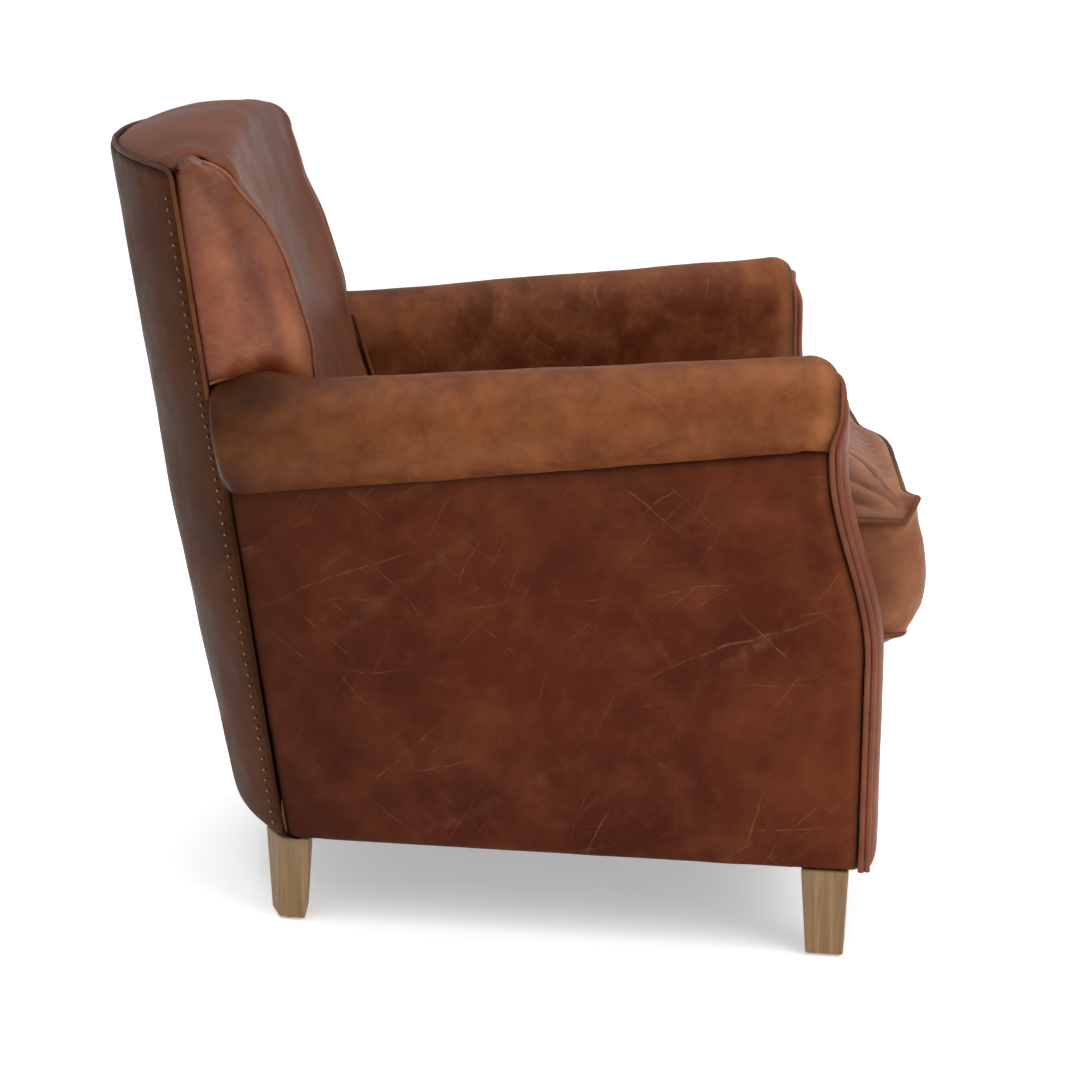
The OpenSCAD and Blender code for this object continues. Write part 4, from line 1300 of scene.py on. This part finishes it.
def legs():
    for side, word in SIDES:
        leg(f"oak_leg_front_{word}", square((327, -360), 50), square((328, -357), 40), side,
            f"leg_front_{word}")
        leg(f"oak_leg_rear_{word}", [(243, 219), (195, 219), (203, 271), (239, 251)],
            [(242, 226), (202, 226), (208, 266), (237, 255)], side, f"leg_rear_{word}")
    profile = ((2.5, 0.9), (4.0, 0.3), (9.0, 0.0), (11.2, 0.3), (12.0, 1.1), (12.0, 2.0), (11.4, 2.4))
    verts, faces = [], []
    for x, y in ((-306, -341), (306, -341), (-222, 243), (222, 243)):
        turned(verts, faces, profile, lambda u, v, h: (x + u, y + v, h), 32)
    piece = new_object("leg_glide_pads", verts, faces)
    face_outwards(piece, lambda c: Vector((0, 0, c.z - 0.0013)))
    finish_piece(piece, M["nylon"], nodes=("leg_glides",))


# ---- plain materials ----

def oak():
    s = Shader("leg_oak")
    fibre = s.noise(1.0, 6, 0.68, 0.8, s.mapped(scale=(95, 95, 5.5)))
    rings = s.wave(9.0, "X", 5.0, 3.0, s.mapped(scale=(1.6, 1.1, 0.22), turn=(0.06, 0.09, 0.5)), "SAW")
    pores = s.noise(1.0, 3, 0.7, 0.0, s.mapped(scale=(420, 420, 22)))
    colour = s.blend(s.between(fibre, 0.3, 0.7), srgb("74583a"), srgb("9a7850"))
    for mask, share, tone in ((s.between(rings, 0.55, 1.0), 0.45, "6b5236"),
                              (s.between(s.noise(11, 5, 0.6, 0.4), 0.45, 0.7), 0.5, "84735a"),
                              (s.between(pores, 0.62, 0.72), 0.6, "4c3824")):
        colour = s.blend(s.times(mask, share), colour, srgb(tone))
    height = s.math("SUBTRACT", s.times(fibre, 0.6), s.between(pores, 0.6, 0.74))
    return s.look(Base_Color=colour, Roughness=s.between(fibre, 0.2, 0.8, 0.52, 0.72),
                  Specular_IOR_Level=0.35, Normal=s.bump(height, 0.0006, 0.6))


def plain_wood():
    s = Shader("frame_wood")
    fibre = s.noise(1.0, 5, 0.6, 0.5, s.mapped(scale=(30, 30, 160)))
    colour = s.blend(s.between(fibre, 0.3, 0.7), srgb("b08a5c"), srgb("cda878"))
    colour = s.blend(s.between(s.noise(9, 3), 0.4, 0.7, 0, 0.4), colour, srgb("9a7448"))
    return s.look(Base_Color=colour, Roughness=s.between(fibre, 0.2, 0.8, 0.6, 0.8),
                  Normal=s.bump(fibre, 0.0004, 0.5))


def metal(name, colour, dark, rough, tarnish=0.4, scale=60):
    s = Shader(name)
    spots = s.noise(scale, 5, 0.6)
    colour = s.blend(s.between(spots, 0.45, 0.75, 0, tarnish), srgb(colour), srgb(dark))
    return s.look(Base_Color=colour, Metallic=1.0,
                  Roughness=s.between(spots, 0.3, 0.7, rough, rough + 0.2),
                  Normal=s.bump(s.noise(900, 2), 0.0001, 0.3))


def woven(name, dark, light, pitch, rough=0.9, slub=0.3):
    """Plain cloth: crossed threads, with slubs."""
    s = Shader(name)
    dark, light = srgb(dark), srgb(light)
    warp, weft, rise = (s.wave(pitch, axis, 0.3, 1.0) for axis in "XYZ")
    weave = s.math("MAXIMUM", s.times(warp, weft), s.times(rise, 0.7))
    slubs = s.noise(1.0, 3, 0.6, 0, s.mapped(scale=(40, 260, 260)))
    colour = s.blend(s.between(weave, 0.1, 0.7), dark, light)
    colour = s.blend(s.between(slubs, 0.5, 0.75, 0, slub), colour, light)
    # painted shade: the shade mark darkens the cloth towards its dark thread colour
    return s.look(Base_Color=s.blend(s.mark("shade"), colour, dark), Sheen_Weight=0.15,
                  Roughness=s.between(weave, 0.0, 1.0, rough, rough - 0.12),
                  Normal=s.bump(weave, 0.0004, 0.6))


def soft_foam():
    s = Shader("foam")
    cells = s.cells(330)
    return s.look(Base_Color=s.blend(s.between(cells, 0.1, 0.6), srgb("b89a5c"), srgb("e3cf96")),
                  Roughness=s.between(cells, 0, 1, 0.85, 0.95), Normal=s.bump(cells, 0.0006, 0.6))


def nylon():
    s = Shader("glide_nylon")
    scuff = s.noise(160, 4, 0.6)
    return s.look(Base_Color=s.blend(s.between(scuff, 0.4, 0.7), srgb("2a2724"), srgb("4b463f")),
                  Roughness=s.between(scuff, 0.3, 0.7, 0.45, 0.65), Normal=s.bump(scuff, 0.0002, 0.4))


M.update({
    "oak": oak(), "wood": plain_wood(), "foam": soft_foam(), "nylon": nylon(),
    "steel": metal("bright_steel", "b9bcbd", "6d7071", 0.3),
    "nail": metal("nail_brass", "7d6a4c", "3a2c1e", 0.5, 0.7, 300),
    "zip": metal("zip_metal", "9a927e", "57503f", 0.3, 0.4, 200),
    "tape": woven("zip_tape_cloth", "241a14", "3d2d23", 380),
    "deck": woven("deck_cloth", "5b4030", "7c5b45", 300),
    "webbing": woven("jute_webbing", "6d4f2c", "b08e5c", 160),
    "cambric": woven("black_cambric", "0b0b0c", "1e1e20", 420, 0.95, 0.1),
})

outside_back()
inside_back()
for side, word in SIDES:
    boxing(side, word)
back_welts()
nails()
cushion()
zip_fastener()
deck()
dust_cover()
legs()

KEPT = {
    "steel": ("hanger_bolts", "seat_springs", "spring_clips"),
    "webbing": ("back_webbing",),
    "wood": ("corner_blocks", "front_rail", "rear_rail", "back_rib_top", "back_rib_middle",
             "back_rib_bottom", "back_spring_rail",
             *(f"{name}_{word}" for name in ("side_rail", "arm_front_board", "arm_rail", "back_post")
               for _, word in SIDES)),
}
for key, names in KEPT.items():
    for node_name in names:
        materials = NODES[node_name].data.materials
        if not materials:
            materials.append(M[key])
        for i in range(len(materials)):
            materials[i] = M[key]


# ---- floor, light and camera ----

def floor():
    line = steps(-30000, 30000, 24)
    piece = new_object("studio_floor", *grid([[(x, y, 0) for x in line] for y in line]))
    s = Shader("pale_floor")
    piece.data.materials.append(s.look(
        Base_Color=s.blend(s.between(s.noise(2.0, 2), 0.3, 0.7), srgb("fafafa"), srgb("fdfdfd")),
        Roughness=s.between(s.noise(3.0, 2), 0.3, 0.7, 0.85, 0.9), Specular_IOR_Level=0.1,
        Emission_Color=(1.0, 1.0, 1.0, 1.0), Emission_Strength=0.36))


def lamp(name, at, target, size, power, tint):
    data = bpy.data.lights.new(name, "AREA")
    data.shape, data.size, data.energy, data.color = "SQUARE", size, power, tint
    light = bpy.data.objects.new(name, data)
    light.location = at
    light.rotation_euler = (Vector(target) - Vector(at)).to_track_quat("-Z", "Y").to_euler()
    scene.collection.objects.link(light)


floor()
world = bpy.data.worlds.new("studio")
scene.world = world
world.use_nodes = True
sky = world.node_tree
height = add_node(sky, "SeparateXYZ", add_node(sky, "TexCoord").outputs["Generated"]).outputs[2]
ramp = add_node(sky, "ValToRGB", height)
stops = ramp.color_ramp.elements
stops[0].color = (1.15, 1.15, 1.15, 1.0)
stops[1].color, stops[1].position = (0.98, 1.0, 1.0, 1.0), 0.8
stops.new(0.1).color = (1.15, 1.15, 1.15, 1.0)
stops.new(0.17).color = (0.42, 0.41, 0.4, 1.0)
put(sky, sky.nodes["Background"].inputs["Color"], ramp.outputs[0])
put(sky, sky.nodes["Background"].inputs["Strength"], 0.85)
lamp("key", (-1.9, -2.6, 2.5), (0, -0.1, 0.5), 2.2, 48, (1.0, 0.98, 0.96))
lamp("top", (0.2, 0.1, 3.4), (0, 0, 0.5), 3.0, 60, (0.95, 0.98, 1.0))
scene.view_settings.view_transform = "Standard"

camera_data = bpy.data.cameras.new("camera")
camera_data.lens, camera_data.sensor_width = 86.67, 36.0
camera = bpy.data.objects.new("camera", camera_data)
camera.location = (-2.88, -0.0755, 1.184)
tilt, pan = radians(15.8), radians(0.926)
ahead = Vector((cos(tilt) * cos(pan), cos(tilt) * sin(pan), -sin(tilt)))
camera.rotation_euler = ahead.to_track_quat("-Z", "Y").to_euler()
scene.collection.objects.link(camera)
scene.camera = camera

bpy.context.view_layer.update()
